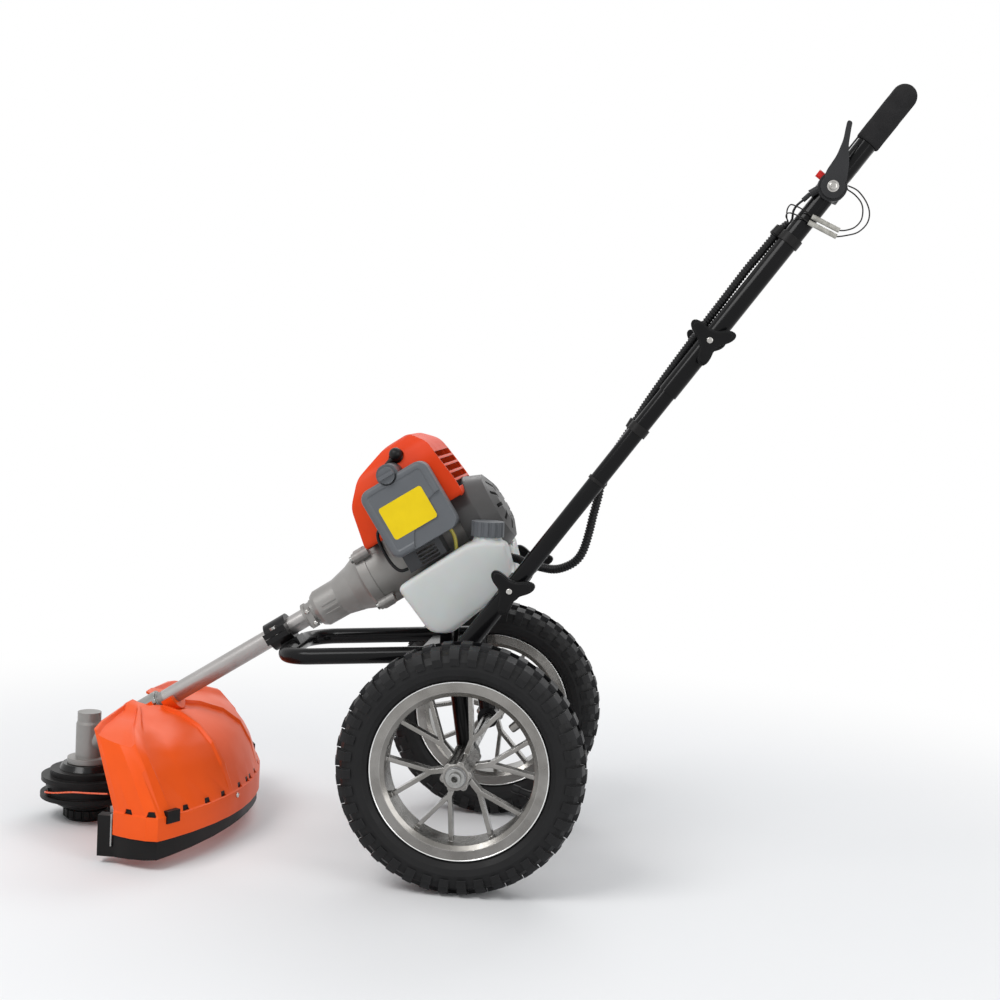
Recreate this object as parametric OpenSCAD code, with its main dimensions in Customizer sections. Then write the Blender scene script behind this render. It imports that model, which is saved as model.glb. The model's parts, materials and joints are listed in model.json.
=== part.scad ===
// Wheeled string trimmer: two lugged wheels, a tube frame with a fold-down handle,
// a small engine on a straight drive tube, a spool head and a fan-shaped guard.
// X runs to the rear, Y to the machine's right, Z up, and the floor is at zero.

/* [Wheels] */
// Diameter of a tyre over its lugs
tyre_d = 320; // [312:2:328]
// Width of a tyre's casing
tyre_w = 69; // [66:1:73]
// Height of the tread lugs
lug_h = 5; // [3.5:0.5:6]
// Lugs in each row of the tread
lug_count = 40; // [36:4:44]
// Diameter of a rim over its flanges
rim_d = 229; // [224:1:234]
// Width of a rim over its flanges
rim_w = 52; // [48:1:56]
// Distance between the middles of the two wheels
track = 391; // [386:1:410]
// Diameter of the axle
axle_d = 15; // [12:0.5:18]
// Length of a wheel hub
hub_l = 110; // [104:1:114]

/* [Frame] */
// Outside diameter of the frame loop's tube
rail_d = 22; // [19:0.5:24]
// Distance between the middles of the two rails
rail_gap = 180; // [170:2:190]
// Outside diameter of a post
post_d = 25; // [22:0.5:27]
// Distance between the middles of the two posts
post_gap = 252; // [246:1:256]
// Height of the lower knobs above the axle
knob_rise = 225; // [215:1:240]
// Distance of the lower knobs behind the axle
knob_back = 48; // [42:1:56]

/* [Handle] */
// Angle of the handle above the floor
handle_angle = 54.6; // [50:0.2:58]
// Distance between the middles of the two handle bars
bar_gap = 304; // [300:1:314]
// Outside diameter of a lower handle tube
bar_d = 22; // [20:0.5:23]
// Wall of the handle tubes
bar_wall = 1.5; // [1:0.1:2]
// Length of the handle from the lower knobs to the ends of the grips
handle_l = 797; // [780:1:830]
// Length of a grip
grip_l = 87; // [78:1:95]
// Diameter of a grip
grip_d = 32; // [30:0.5:36]
// Diameter of a clamp knob over its lobes
knob_d = 66; // [56:1:72]
// How far the upper tubes draw out
draw_out = 100; // [80:1:105]

/* [Shaft and head] */
// Distance of the head's axis in front of the axle
head_reach = 558; // [540:1:580]
// Outside diameter of the drive tube
tube_d = 26; // [24:0.5:28]
// Diameter of the spool over its flanges
spool_d = 130; // [120:1:140]
// Height of the spool
spool_h = 50; // [44:1:56]
// Diameter of the bump knob
bump_d = 66; // [60:1:72]
// How far the bump knob presses in
bump_travel = 6; // [4:0.5:8]

/* [Guard] */
// Radius of the guard's rear edge in plan
guard_r = 418; // [390:2:450]
// Distance of the guard's rear edge behind its mount
guard_reach = 162; // [154:1:172]
// Half of the guard's spread
guard_spread = 80; // [74:1:84]
// Height of the guard's crown over the tube's middle at the bracket
guard_rise = 5.5; // [4:0.5:8]
// Wall of the guard
guard_wall = 3; // [2.5:0.1:4]

/* [Engine] */
// Height of the clutch end of the engine above the axle
clutch_rise = 163.4; // [158:0.2:170]
// Distance of the clutch end in front of the axle
clutch_front = 227.2; // [222:0.2:232]
// Diameter of the crankcase
crank_d = 90; // [84:1:94]
// Length of the crankcase
crank_l = 144; // [140:1:150]
// Width of the cylinder cover
cover_w = 144; // [138:1:147]
// Height of the cylinder cover above the drive line
cover_h = 146; // [142:1:156]
// Diameter of the starter housing
starter_d = 116; // [108:1:118]
// Width of the fuel tank
tank_w = 150; // [142:1:160]
// Length of the fuel tank
tank_l = 155; // [150:1:160]
// Depth of the fuel tank
tank_h = 94; // [88:1:98]
// Diameter of the fuel cap
cap_d = 44; // [40:1:48]

/* [Hidden] */
$fn = 48;

// Cuts run past a face by this much
over = 2;
// Seated faces of one body stand this far apart
seat = 0.05;
// Radial play of a running fit
run = 0.06;
// Faces of different bodies stand this far apart
apart = 0.4;

// Wheels
axle_z = tyre_d / 2;
axle_r = axle_d / 2;
crown_r = tyre_d / 2 - lug_h;
tyre_hw = tyre_w / 2;
flange_r = rim_d / 2;
rim_hw = rim_w / 2;
rim_lip = 2.8;
rim_slope = 2;
bead_drop = 7.5;
bead_r = flange_r - bead_drop;
bead_hw = rim_hw - rim_lip - rim_slope;
bead_t = 5.5;
ledge_w = 8;
ledge_drop = 2;
well_drop = 8;
well_w = 13;
well_r = bead_r - well_drop;
rim_sheet = 4;
rim_in = well_r - rim_sheet;
rim_bevel = 6;
rim_inset = 4;
casing_shares = [[0.06, 0.8], [0.21, 0.94], [0.41, 1], [0.63, 0.97], [0.83, 0.84], [0.95, 0.58], [1, 0.23]];
lining_shares = [[0.84, 0.23], [0.8, 0.52], [0.7, 0.72], [0.55, 0.83], [0.38, 0.85], [0.23, 0.8], [0.11, 0.64]];
lug_root = 3;
centre_lug_shares = [0.35, 0.38];
shoulder_lug_shares = [[-1.2, 0.58], [0.7, 0.46], [0, 0.9], [-2, 1.04], [-3.8, 1.04], [-3.4, 0.91]];
lug_arc_share = 0.51;
hub_r = 16.5;
hub_lobe_r = 5;
hub_lobe_at = 15;
hub_lobes = 6;
hub_lobe_gap = 1.5;
hub_room = 1.5;
hub_bore_r = axle_r + hub_room;
bearing_wall = 5.5;
bearing_r = axle_r + bearing_wall;
bearing_l = 12;
hub_out = track / 2 + hub_l / 2;
hub_in = track / 2 - hub_l / 2;
spoke_count = 6;
spoke_t = 7;
branch_t = 5.5;
spoke_depth = 14;
fork_r = 43;
fork_angle = 14.5;
wheel_turn = 11;
valve_angle = 41;
valve_r = 4;
valve_l = 18;
nut_r = 12;
nut_t = 5;
axle_spare = 6;
axle_end = hub_out + nut_t + axle_spare;
axle_bore_r = 4;
axle_bore_l = 20;

// Shaft and head
head_x = -head_reach;
head_skirt = 22;
cup_h = 8;
cup_r = 40;
cup_top_r = 35;
spool_r = spool_d / 2;
spool_shares = [[0.652, 0], [0.884, 0.21], [1, 0.21], [1, 0.327], [0.884, 0.327], [0.884, 0.69], [0.985, 0.69],
  [0.985, 0.827], [0.797, 0.827], [0.797, 1]];
spool_top = head_skirt + spool_h;
cup_top = spool_top + cup_h;
recess_h = 14;
bump_r = bump_d / 2;
bump_lip = 4;
bump_hub_r = bump_r - bump_lip;
bump_bevel = 5;
bump_rim = head_skirt - bump_travel - apart;
bump_hub_h = 10;
bump_flutes = 18;
bump_flute_r = 2;
out_r = 5;
case_base = cup_top + apart;
apex_rise = 25.1;
apex_z = case_base + apex_rise;
case_flange_r = 29;
case_flange_t = 7.5;
case_r = 18;
case_cap_r = 16.5;
case_mid = 30;
case_top = 47;
case_bevel = 4;
gear_room_r = 14.8;
gear_room_lo = 11;
gear_room_hi = 24;
shaft_top = 36;
neck_r = 15;
neck_l = 126;
neck_ease = 0.1;
neck_step_r = tube_d / 2 - neck_ease;
neck_end = 133;
spigot_l = 23;
pinion_room_r = 12;
pinion_room_l = 32;
drive_r = 3.5;
bush_l = 12;
core_r = 6;
tube_r = tube_d / 2;
tube_wall = 2;
tube_seat = 28;
clutch_z = axle_z + clutch_rise;
drop = clutch_z - apex_z;
run_out = head_reach - clutch_front;
shaft_angle = atan2(drop, run_out);
shaft_l = norm([drop, run_out]);
apex_s = -shaft_l;
pinion_teeth = 13;
gear_teeth = 18;
mesh_angle = 90 - shaft_angle;
pinion_cone = atan2(sin(mesh_angle), gear_teeth / pinion_teeth + cos(mesh_angle));
gear_cone = mesh_angle - pinion_cone;
cone_l = 24;
face_w = 8;
tooth_add = 0.8;
tooth_ded = 1.6;
tooth_tip_share = 0.09;
tooth_root_share = 0.22;
eyelet_r = 4.5;
eyelet_out = 3;
eyelet_angle = 225;
line_d = 2.4;
line_z = 44;
line_shares = [[-0.62, -0.62, 0], [-0.68, -0.68, 0], [-0.65, -0.77, 0.02], [-0.52, -0.87, 0.05], [-0.29, -1.03, 0.12],
  [0.14, -1.33, 0.28], [0.65, -1.68, 0.42], [1.16, -2.01, 0.56]];

// Frame
clamp_s = -70;
clamp_l = 34;
clamp_r = 20;
clamp_ear = 31;
clamp_ear_t = 8;
clamp_split = 0.25;
clamp_shim = 4;
clamp_bolt_y = 25;
saddle_hw = 18;
saddle_l = 26;
saddle_h = 12;
bolt_r = 2.5;
bolt_head_r = 5;
bolt_head_t = 4;
bar_s = -62;
bar_n = -(tube_r + clamp_shim + rail_d / 2);
rail_y = rail_gap / 2;
rail_wall = 1.6;
rail_bend = 40;
post_y = post_gap / 2;
post_wall = 2;
post_over = 14;
post_weld = 0.6;
elbow_drop = 121;
knob_z = axle_z + knob_rise;
elbow = [knob_back - elbow_drop * cos(handle_angle), 0, knob_z - elbow_drop * sin(handle_angle)];
sleeve_r = 15;
sleeve_lip = 1.5;
sleeve_in = post_y - post_d / 2 - sleeve_lip;
sleeve_out = hub_in - apart;
boss_r = 14;
bar_y = bar_gap / 2;
boss_out = bar_y - bar_d / 2 - apart;

// Handle
bar_r = bar_d / 2;
sleeve_bore = bar_r + run;
upper_r = sleeve_bore + bar_wall;
bar_tail = 18;
upper_knob_t = 403;
upper_start = 319;
slot_end = 14;
bar_top = upper_knob_t + draw_out + slot_end;
grip_r = grip_d / 2;
grip_start = handle_l - grip_l;
grip_cap = 12;
tube_end = handle_l - grip_cap;
shank_r = 3.5;
shank_end = 5;
knob_r = knob_d / 2;
knob_core_r = 14;
knob_t = 9;
knob_cap_t = 4;
knob_cap_share = 0.88;
knob_boss_r = 9;
knob_turn = 14;
knob_power = 2.4;
knob_steps = 72;
knob_nut_r = 7;
knob_nut_t = 4;

// Throttle
throttle_gap = 69;
throttle_t = grip_start - throttle_gap;
route_top = 641;
route_turn = 561;
disc_r = 18;
disc_in = 6;
disc_out = 20;
band_r = 17;
band_l = 24;
lever_hub_r = 15;
lever_t = 5;
lever_l = 70;
lever_shares = [[-0.12, 0.15], [0.134, 0.26], [0.467, 0.287], [0.74, 0.367], [0.91, 0.457], [1.04, 0.52], [1.065, 0.43],
  [0.97, 0.384], [0.706, 0.231], [0.48, 0.033], [0.2, -0.14], [-0.1, -0.1]];
pivot_r = 4;
button_r = 5;
button_t = 3;
button_lo = 14;
button_hi = 25;
button_dy = 13;
button_room = 4;
entry = [[631, 11, -11], [619, 16, -9]];
entry_r = 5;
ferrule_end = [608, 18, -7];
ferrule_r = 3;
cable_r = 1.5;
cable_route = [[608, 18, -7], [600, 20, -2], [592, 19, 5], [585, 14.2, 10.8], [579, 13.2, 13.4], [574, 12.8, 14.2]];

// Conduit, in the left bar's own lengths: up the bar, forward of it, inward of it
conduit_r = 6;
conduit_root_r = 5;
conduit_bore_r = 4;
conduit_pitch = 4;
conduit_sides = 8;
conduit_route = [[577, 14, 15], [561, 17, 10], [530, 18, 8], [500, 19, 7], [450, 18, 8], [400, 17, 10],
  [340, 15, 14], [290, 12, 18], [258, 8, 22], [220, 5, 24], [186, -2, 25], [160, -14, 26], [137, -24, 28],
  [115, -34, 32], [93, -42, 36], [76, -43, 41], [60, -37, 47], [47, -27, 56], [36, -11, 72], [27, 5, 90],
  [21, 19, 106], [12, 33, 114], [-2, 46, 116]];
route_steps = 10;
bore_every = 6;

// Kill wires, in the same lengths
wire_r = 0.9;
wire_sides = 8;
wire_a_route = [[653.5, -14, -17], [656, -27, -17], [652, -43, -17], [644, -55, -17], [632, -61, -17],
  [617, -59, -17], [605, -50, -17], [597, -42, -17]];
wire_b_route = [[649.5, -16.5, -17], [650, -28, -17], [647, -40, -17], [640, -48, -17], [630, -53, -17],
  [619, -52, -17], [610, -46, -17], [605, -40, -17]];
connector_a = [[597, -42, -17], [590, -4, -17]];
connector_b = [[605, -40, -17], [598, -3, -17]];
connector_r = 3.2;
stub_a_route = [[590, -4, -17], [589, 8, -17], [587, 19, -10], [585, 23, 0], [582, 22, 8], [579, 15.8, 13.8], [573, 16, 13.4]];
stub_b_route = [[598, -3, -17], [598, 10, -17], [596, 24, -10], [594, 27, -2], [589, 26, 7], [583, 21, 15], [579, 16.5, 16.3],
  [574, 14.9, 16.3]];
wire_steps = 2;

// Clips
top_clip_gap = 80;
top_clip_t = throttle_t - top_clip_gap;
mid_clip_t = 262;
tie_t = 178;
clip_l = 12;
clip_wall = 2;
tie_l = 4.5;
tie_wall = 1.5;
clip_web = 6;

// Engine, in the drive tube's own lengths: along the shaft and square to it
clutch_l = 92;
crank_r = crank_d / 2;
crank_end = clutch_l + crank_l;
crank_wall = 9;
crank_floor = 8;
collar_drop = 26;
collar_l = 17;
collar = [-collar_drop, collar_l - collar_drop];
collar_r = 17;
collar_lip = 4;
collar_lip_h = 1.8;
lug_out = 3;
lug_in = 7;
lug_drop = 19;
lug_top = 11;
lug_n = [-lug_drop, lug_top];
clutch_nose = 8;
clutch_shares = [[-0.087, 0.5], [-0.02, 0.58], [0.326, 0.59], [0.598, 0.72], [0.804, 0.89], [0.848, 1], [1, 1]];
flange_lip = 1;
clutch_r = crank_r + flange_lip;
clutch_ribs = 3;
rib_turn = 84;
rib_step = 15;
rib_s = 6;
rib_l = 22;
rib_w = 2.4;
rib_h = 1.2;
rib_r_share = 0.585;
clutch_bore_shares = [[1, 0.83], [0.83, 0.78], [0.61, 0.59], [0.43, 0.43], [0.37, 0.24]];
ear_r = 7;
ear_t = 12;
ear_at = clutch_r + bolt_head_r + apart;
drum_r_share = 0.74;
drum_lead = 80;
drum_l = 9;
drum = [drum_lead, drum_lead + drum_l];
cyl_lead = 58;
cyl_s = crank_end - cyl_lead;
cyl_foot = 1;
cyl_base = crank_r + cyl_foot;
cyl_hw = 42;
cyl_hl = 50;
cyl_r = 26;
cyl_bore_r = 20;
cover_room = 30;
cyl_top = cover_h - cover_room;
head_r = 34;
fin_r = 42;
fin_count = 7;
fin_t = 3;
head_t = 10;
plug_base = [14, 56, -20];
plug_dir = [14, 22, -38];
plug_r = 4;
plug_hex_r = 7.5;
plug_room_r = 10;
plug_thread = 8;
plug_hex = 10;
plug_l = 32;
boot_r = 8.5;
boot_in = 6;
boot_bulge = 0.6;
boot_lead_r = 3.5;
boot_lead = [-20, -4, -8];
cover_l = 154;
cover_back = 26;
cover_s = crank_end + cover_back - cover_l;
cover_drop = 9;
cover_lo = crank_r - cover_drop;
cover_rise = cover_h - cover_lo;
cover_side_shares = [[0, 0], [0.08, 0.545], [0.247, 0.82], [0.571, 0.99], [0.818, 1], [0.948, 0.79], [1, 0.22], [1, 0]];
cover_end_shares = [[-0.5, 0], [-0.5, 0.6], [-0.43, 0.84], [-0.28, 1], [0.28, 1], [0.43, 0.84], [0.5, 0.6], [0.5, 0]];
cover_round = 9;
cover_wall = 2.5;
cover_slots = 5;
cover_slot_h = 8.5;
cover_slot_pitch = 12;
cover_slot_l = 14;
cover_slot_in = 3;
cover_slot_lead = 13;
round_steps = 4;
half_share = 0.48;
filter_lead = 17;
filter_s = cyl_s + filter_lead;
filter_hw = 47;
filter_lo = 6;
filter_hi = 102;
filter_gap = 2;
filter_in = cover_w / 2 + filter_gap;
base_d = 22;
lid_d = 24;
lid_spare = 3;
lid_round = 14;
lid_bevel = 6;
lid_wall = 2.5;
base_round = 11;
shroud_hl = 28;
shroud = [-shroud_hl, shroud_hl];
shroud_lo = -19;
shroud_in = 52;
shroud_depth = 14;
shroud_out = filter_in + shroud_depth;
shroud_slots = 4;
shroud_slot_h = 3;
shroud_slot_pitch = 5;
shroud_slot_rise = 2;
shroud_slot_back = 9;
shroud_slot_l = 28;
shroud_slot_s = [-shroud_slot_back, shroud_slot_l - shroud_slot_back];
tab_lead = 15;
tab_s = cyl_s + tab_lead;
tab_rise = 6;
tab_n = filter_hi + tab_rise;
tab_r = 15;
swoop_r = 78;
swoop_at = [55, -20];
swoop_d = 3;
element_gap = 4;
element_d = 14;
filter_knob_r = 11;
filter_knob_t = 9;
filter_bar_t = 5;
filter_bar_h = 4;
filter_shank_r = 3;
knob_room = 2;
carb_hw = 20;
carb_lo = 50;
carb_hi = 90;
carb_bore_r = 8;
muffler_back = 38;
muffler_l = 85;
muffler_s = [-muffler_back, muffler_l - muffler_back];
muffler_lo = 40;
muffler_h = 75;
muffler_n = [muffler_lo, muffler_lo + muffler_h];
muffler_in = fin_r + 2 * seat;
muffler_out = 108;
muffler_round = 14;
muffler_wall = 2;
muffler_room = 5;
shield_gap = 4;
shield_t = 2.5;
shield_post_r = 4;
shield_slots = 5;
shield_slot_w = 7;
shield_inset = 12;
outlet_r = 7;
outlet_l = 12;
starter_r = starter_d / 2;
starter_shares = [[0, 1], [0.47, 1], [0.87, 0.83], [1, 0.52], [1, 0]];
starter_l = 58;
starter_wall = 3;
starter_lip = 8;
starter_vents = 12;
starter_vent_w = 5;
starter_vent_shares = [0.36, 0.72];
starter_eye_angle = 35;
eye_r = 6;
eye_bore_r = 2.5;
eye_l = 9;
tank_lead = 52;
tank_s = cyl_s - tank_lead;
tank_top = -21;
tank_near = -108;
tank_shares = [[0, 0.947], [0.026, 0.596], [0.052, 0.17], [0.206, 0], [0.761, 0.149], [0.923, 0.298], [1, 0.745], [0.723, 1]];
tank_round = 8;
shrink_share = 2.6;
tank_wall = 2.5;
tank_bevel = 10;
groove_drop = 58;
groove_h = 31;
groove = [-groove_drop, groove_h - groove_drop];
groove_lead = 52;
groove_s = cyl_s + groove_lead;
cap_shares = [0.868, 0.894];
cap_y = -84;
cap_r = cap_d / 2;
cap_h = 20;
cap_wall = 3;
cap_flutes = 14;
cap_flute_r = 2.5;
neck_out = 9;
neck_in = 10;
fill_r = cap_r - cap_wall - apart;
fill_wall = 2.5;
fill_bore_r = fill_r - fill_wall;
fuel_line_r = 2.5;
fuel_line_y = -84;
fuel_line_s = [46, 40];
rope_r = 2.2;
engine_cable_route = [[-31.5, 52, -86], [-38, 51, -88], [-43, 42, -90], [-45, 24, -91], [-44, 4, -91],
  [-39, -9, -89], [-29, -12, -86]];
stand_l = 46;
stand_t = 4;
cradle_l = 16;
cradle_hw = 46;

// Guard
mount_back = 73;
guard_x = head_x + mount_back;
ray_shares = [0.12, 0.27, 0.32, 0.5, 0.7, 0.85, 0.94, 1];
rise_shares = [0.97, 0.985, 0.985, 0.965, 0.895, 0.775, 0.61, 0.42];
flank_shares = [1.03, 1.03, 1.02, 1.005, 0.99, 0.965, 0.8, 0.42];
turn_shares = [1.15, 1.15, 1.15, 1.15, 1.15, 1.14, 1.08, 1];
crown_rows = 2;
steep_share = 0.75;
strip_out = 3;
strip_lo = 40;
strip_lip = 2;
corner_from = 66;
corner_share = 0.29;
ridge_h = 5;
ridge_angles = [-63, -25, 25, 63];
ridge_hw = 2.4;
ridge_edge = 1.2;
guard_slot_angles = [3, 14.5, 31.5, 43, 54.5, 67.5, 74.5];
guard_slot_w = 13;
guard_slot_h = 7;
guard_slot_lift = 0.6;
slot_taper_share = 0.6;
skirt_tab_angle = 60.7;
skirt_tab_w = 22;
skirt_tab_lo = 61;
skirt_tab_h = 16;
skirt_tab_z = [skirt_tab_lo, skirt_tab_lo + skirt_tab_h];
skirt_tab_out = 2;
notch_r = 21;
skirt_hi = 58;
skirt_lo = 10;
skirt_lift = 15;
skirt_t = 4;
holder_out = 20;
holder_in = 2.7;
holder_w = 14;
holder_back = 3;
holder_h = 54;
holder = [-holder_out, -holder_in, -holder_w, holder_back, 0, holder_h];
foot_h = 13;
foot_in = 4;
holder_turn = -guard_spread;
blade_t = 2;
blade_out = 38;
blade_in = 4;
blade_y = [-blade_out, blade_in];
blade_h = 42;
blade_z = 24;
bracket_lead = 94;
bracket_l = 30;
bracket_s = [bracket_lead, bracket_lead + bracket_l];
bracket_r = 18;
pad_hw = 33;
pad_t = 4;
pad_web = 3.5;
pad_web_hi = 8;
pad_sink = 0.5;
pad_drop = bracket_r + pad_t - pad_sink;
guard_top = apex_z + (bracket_s[0] + bracket_s[1]) / 2 * sin(shaft_angle) + guard_rise;
pad_bolt_y = 23;

// Middle of the machine's length
front_x = head_x - spool_r;
rear_x = knob_back + (handle_l - grip_r) * cos(handle_angle) + grip_r;
mid_x = (front_x + rear_x) / 2;

// Places and helpers
function shaft_pt(s, n) = [-clutch_front + s * cos(shaft_angle) - n * sin(shaft_angle), 0,
  clutch_z + s * sin(shaft_angle) + n * cos(shaft_angle)];
function unit(v) = v / norm(v);
function flat(rows) = [for (r = rows) for (p = r) p];
function turned(p, a) = [p[0] * cos(a) - p[1] * sin(a), p[0] * sin(a) + p[1] * cos(a)];
function wrapped(i, n) = (i + n) % n;
function corner(a, c, b, r, n) = let (la = norm(a - c), lb = norm(b - c), t = min(r, la * half_share, lb * half_share),
  p = c + (a - c) / la * t, q = c + (b - c) / lb * t)
  [for (i = [0:n]) let (u = i / n) p * (1 - u) * (1 - u) + c * 2 * u * (1 - u) + q * u * u];
function rounded(pts, r) = let (n = len(pts))
  flat([for (i = [0:n - 1]) corner(pts[wrapped(i - 1, n)], pts[i], pts[wrapped(i + 1, n)], r, round_steps)]);
function spread(shares, x, w, z, h) = [for (p = shares) [x + p[0] * w, z + p[1] * h]];
function rect(x0, x1, z0, z1) = [[x0, z0], [x1, z0], [x1, z1], [x0, z1]];
function shrunk(pts, c, kx, kz) = [for (p = pts) [c[0] + (p[0] - c[0]) * kx, c[1] + (p[1] - c[1]) * kz]];

module machine() translate([-mid_x, 0, 0]) children();
module at_shaft() translate([-clutch_front, 0, clutch_z]) rotate([0, -shaft_angle, 0]) children();
module at_head() translate([head_x, 0, 0]) children();
module at_handle() translate([knob_back, -bar_y, knob_z]) rotate([0, -handle_angle, 0]) children();
module at_wheel(side) translate([0, side * track / 2, axle_z]) rotate([-90 * side, 0, 0]) children();
module on_side(side) if (side < 0) children(); else mirror([0, 1, 0]) children();
module along_x(x0, x1, r) translate([x0, 0, 0]) rotate([0, 90, 0]) cylinder(r = r, h = x1 - x0);
module along_y(y0, y1, r) translate([0, y0, 0]) rotate([-90, 0, 0]) cylinder(r = r, h = y1 - y0);
module along_z(z0, z1, r) translate([0, 0, z0]) cylinder(r = r, h = z1 - z0);
module block(x0, x1, y0, y1, z0, z1) translate([x0, y0, z0]) cube([x1 - x0, y1 - y0, z1 - z0]);
module slab_y(pts, y0, y1) translate([0, y1, 0]) rotate([90, 0, 0]) linear_extrude(y1 - y0) polygon(pts);
module slab_x(pts, x0, x1) translate([x0, 0, 0]) rotate([90, 0, 90]) linear_extrude(x1 - x0) polygon(pts);
module slab_z(pts, z0, z1) translate([0, 0, z0]) linear_extrude(z1 - z0) polygon(pts);
module spun_x(pts) rotate([0, 90, 0]) rotate_extrude() polygon(pts);
module rod(p, q, r) {
  d = q - p;
  translate(p) rotate([0, acos(d[2] / norm(d)), atan2(d[1], d[0])]) cylinder(r = r, h = norm(d));
}

// Swept tubes
function eased(a, b, c, d, u) = (2 * b + (c - a) * u + (2 * a - 5 * b + 4 * c - d) * u * u
  + (3 * b - a - 3 * c + d) * u * u * u) / 2;
function smooth(r, n) = let (e = len(r) - 1) concat(flat([for (i = [0:e - 1]) [for (k = [0:n - 1])
  eased(r[max(i - 1, 0)], r[i], r[i + 1], r[min(i + 2, e)], k / n)]]), [r[e]]);
function heading(r, i) = unit(r[min(i + 1, len(r) - 1)] - r[max(i - 1, 0)]);
function ring(c, d, ref, rad, k) = let (u = unit(cross(d, ref)), v = cross(d, u))
  [for (j = [0:k - 1]) c + rad * (cos(360 * j / k) * u + sin(360 * j / k) * v)];
function quad(a, b, c, d) = [[a, b, c], [a, c, d]];
function wall_faces(n, k, base, out) = flat([for (i = [0:n - 2]) for (j = [0:k - 1])
  let (a = base + i * k + j, b = base + i * k + (j + 1) % k) out ? quad(a, a + k, b + k, b) : quad(a, b, b + k, a + k)]);
module cord(route, ref, rad, k) {
  n = len(route);
  pts = flat([for (i = [0:n - 1]) ring(route[i], heading(route, i), ref, rad, k)]);
  caps = [[for (j = [0:k - 1]) j], [for (j = [0:k - 1]) n * k - 1 - j]];
  polyhedron(pts, concat(wall_faces(n, k, 0, true), caps));
}

// Frame
front_bar = shaft_pt(bar_s, bar_n);
loop_l = norm(elbow - front_bar);
loop_angle = atan2(elbow[2] - front_bar[2], elbow[0] - front_bar[0]);
module at_loop() translate(front_bar) rotate([0, -loop_angle, 0]) children();
module loop_path(r, end_y) {
  reach = rail_y - rail_bend;
  along_y(-reach, reach, r);
  translate([loop_l, 0, 0]) along_y(-end_y, end_y, r);
  for (side = [-1, 1]) {
    translate([0, side * rail_y, 0]) along_x(rail_bend, loop_l, r);
    translate([rail_bend, side * reach, 0]) rotate([0, 0, side > 0 ? 90 : 180])
      rotate_extrude(angle = 90) translate([rail_bend, 0]) circle(r = r);
  }
}
module frame_loop() color("black") at_loop() difference() {
  loop_path(rail_d / 2, post_y - post_d / 2 - post_weld - seat);
  loop_path(rail_d / 2 - rail_wall, rail_y);
}
module post(side) color("black") on_side(side) difference() {
  knob_at = [knob_back, -post_y, knob_z];
  elbow_at = [elbow[0], -post_y, elbow[2]];
  foot = [0, -post_y, axle_z];
  up = unit(knob_at - elbow_at);
  union() {
    rod(elbow_at, knob_at + up * post_over, post_d / 2);
    rod(foot, elbow_at, post_d / 2);
    translate(elbow_at) sphere(r = post_d / 2 + post_weld);
    translate([0, 0, axle_z]) along_y(-sleeve_out, -sleeve_in, sleeve_r);
    translate([knob_back, 0, knob_z]) along_y(-boss_out, -post_y, boss_r);
  }
  leg = unit(elbow_at - foot);
  rod(elbow_at + up * post_d / 2, knob_at - up * boss_r * 2, post_d / 2 - post_wall);
  rod(foot + leg * sleeve_r * 2, elbow_at - leg * post_d / 2, post_d / 2 - post_wall);
  translate([0, 0, axle_z]) along_y(-sleeve_out - over, -sleeve_in + over, axle_r + seat);
  translate([knob_back, 0, knob_z]) along_y(-boss_out - over, -post_y + post_d, shank_r + run);
}
module axle() color("silver") translate([0, 0, axle_z]) difference() {
  along_y(-axle_end, axle_end, axle_r);
  for (side = [-1, 1]) on_side(side) along_y(-axle_end - over, -axle_end + axle_bore_l, axle_bore_r);
}
module wheel_bearings() color("dimgray") for (side = [-1, 1]) on_side(side) translate([0, 0, axle_z])
  for (y = [-hub_out, -hub_in - bearing_l]) difference() {
    along_y(y, y + bearing_l, bearing_r - run);
    along_y(y - over, y + bearing_l + over, axle_r + seat);
  }
module shaft_clamp() color("black") at_shaft() for (half = [-1, 1]) difference() {
  intersection() {
    union() {
      along_x(clamp_s - clamp_l / 2, clamp_s + clamp_l / 2, clamp_r);
      block(clamp_s - clamp_l / 2, clamp_s + clamp_l / 2, -clamp_ear, clamp_ear, -clamp_ear_t, clamp_ear_t);
      if (half < 0) block(bar_s - saddle_l / 2, bar_s + saddle_l / 2, -saddle_hw, saddle_hw, bar_n, bar_n + saddle_h);
    }
    if (half < 0) block(clamp_s - clamp_l, clamp_s + clamp_l, -clamp_ear, clamp_ear, -clamp_r * 2, -clamp_split);
    else block(clamp_s - clamp_l, clamp_s + clamp_l, -clamp_ear, clamp_ear, clamp_split, clamp_r * 2);
  }
  along_x(clamp_s - clamp_l, clamp_s + clamp_l, tube_r + seat);
  translate([bar_s, 0, bar_n]) along_y(-clamp_ear, clamp_ear, rail_d / 2 + seat);
  for (side = [-1, 1]) translate([clamp_s, side * clamp_bolt_y, 0]) along_z(-clamp_r * 2, clamp_r * 2, bolt_r + seat);
}
module bolt(l) {
  along_z(-l, 0, bolt_r);
  along_z(seat, bolt_head_t, bolt_head_r);
  along_z(0, seat, bolt_r);
}
module fasteners() color("silver") {
  for (side = [-1, 1]) on_side(side) translate([0, 0, axle_z]) difference() {
    along_y(-hub_out - apart - nut_t, -hub_out - apart, nut_r);
    along_y(-axle_end, -hub_in, axle_r + seat);
  }
  at_shaft() {
    for (side = [-1, 1]) translate([clamp_s, side * clamp_bolt_y, clamp_ear_t]) bolt(clamp_ear_t * 2);
    for (a = [45:90:315]) rotate([a, 0, 0]) translate([clutch_l - ear_t, 0, ear_at]) rotate([0, -90, 0]) bolt(ear_t);
    for (side = [-1, 1]) translate([apex_s + (bracket_s[0] + bracket_s[1]) / 2, side * pad_bolt_y, -bracket_r])
      bolt(pad_t * 2);
  }
}
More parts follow.
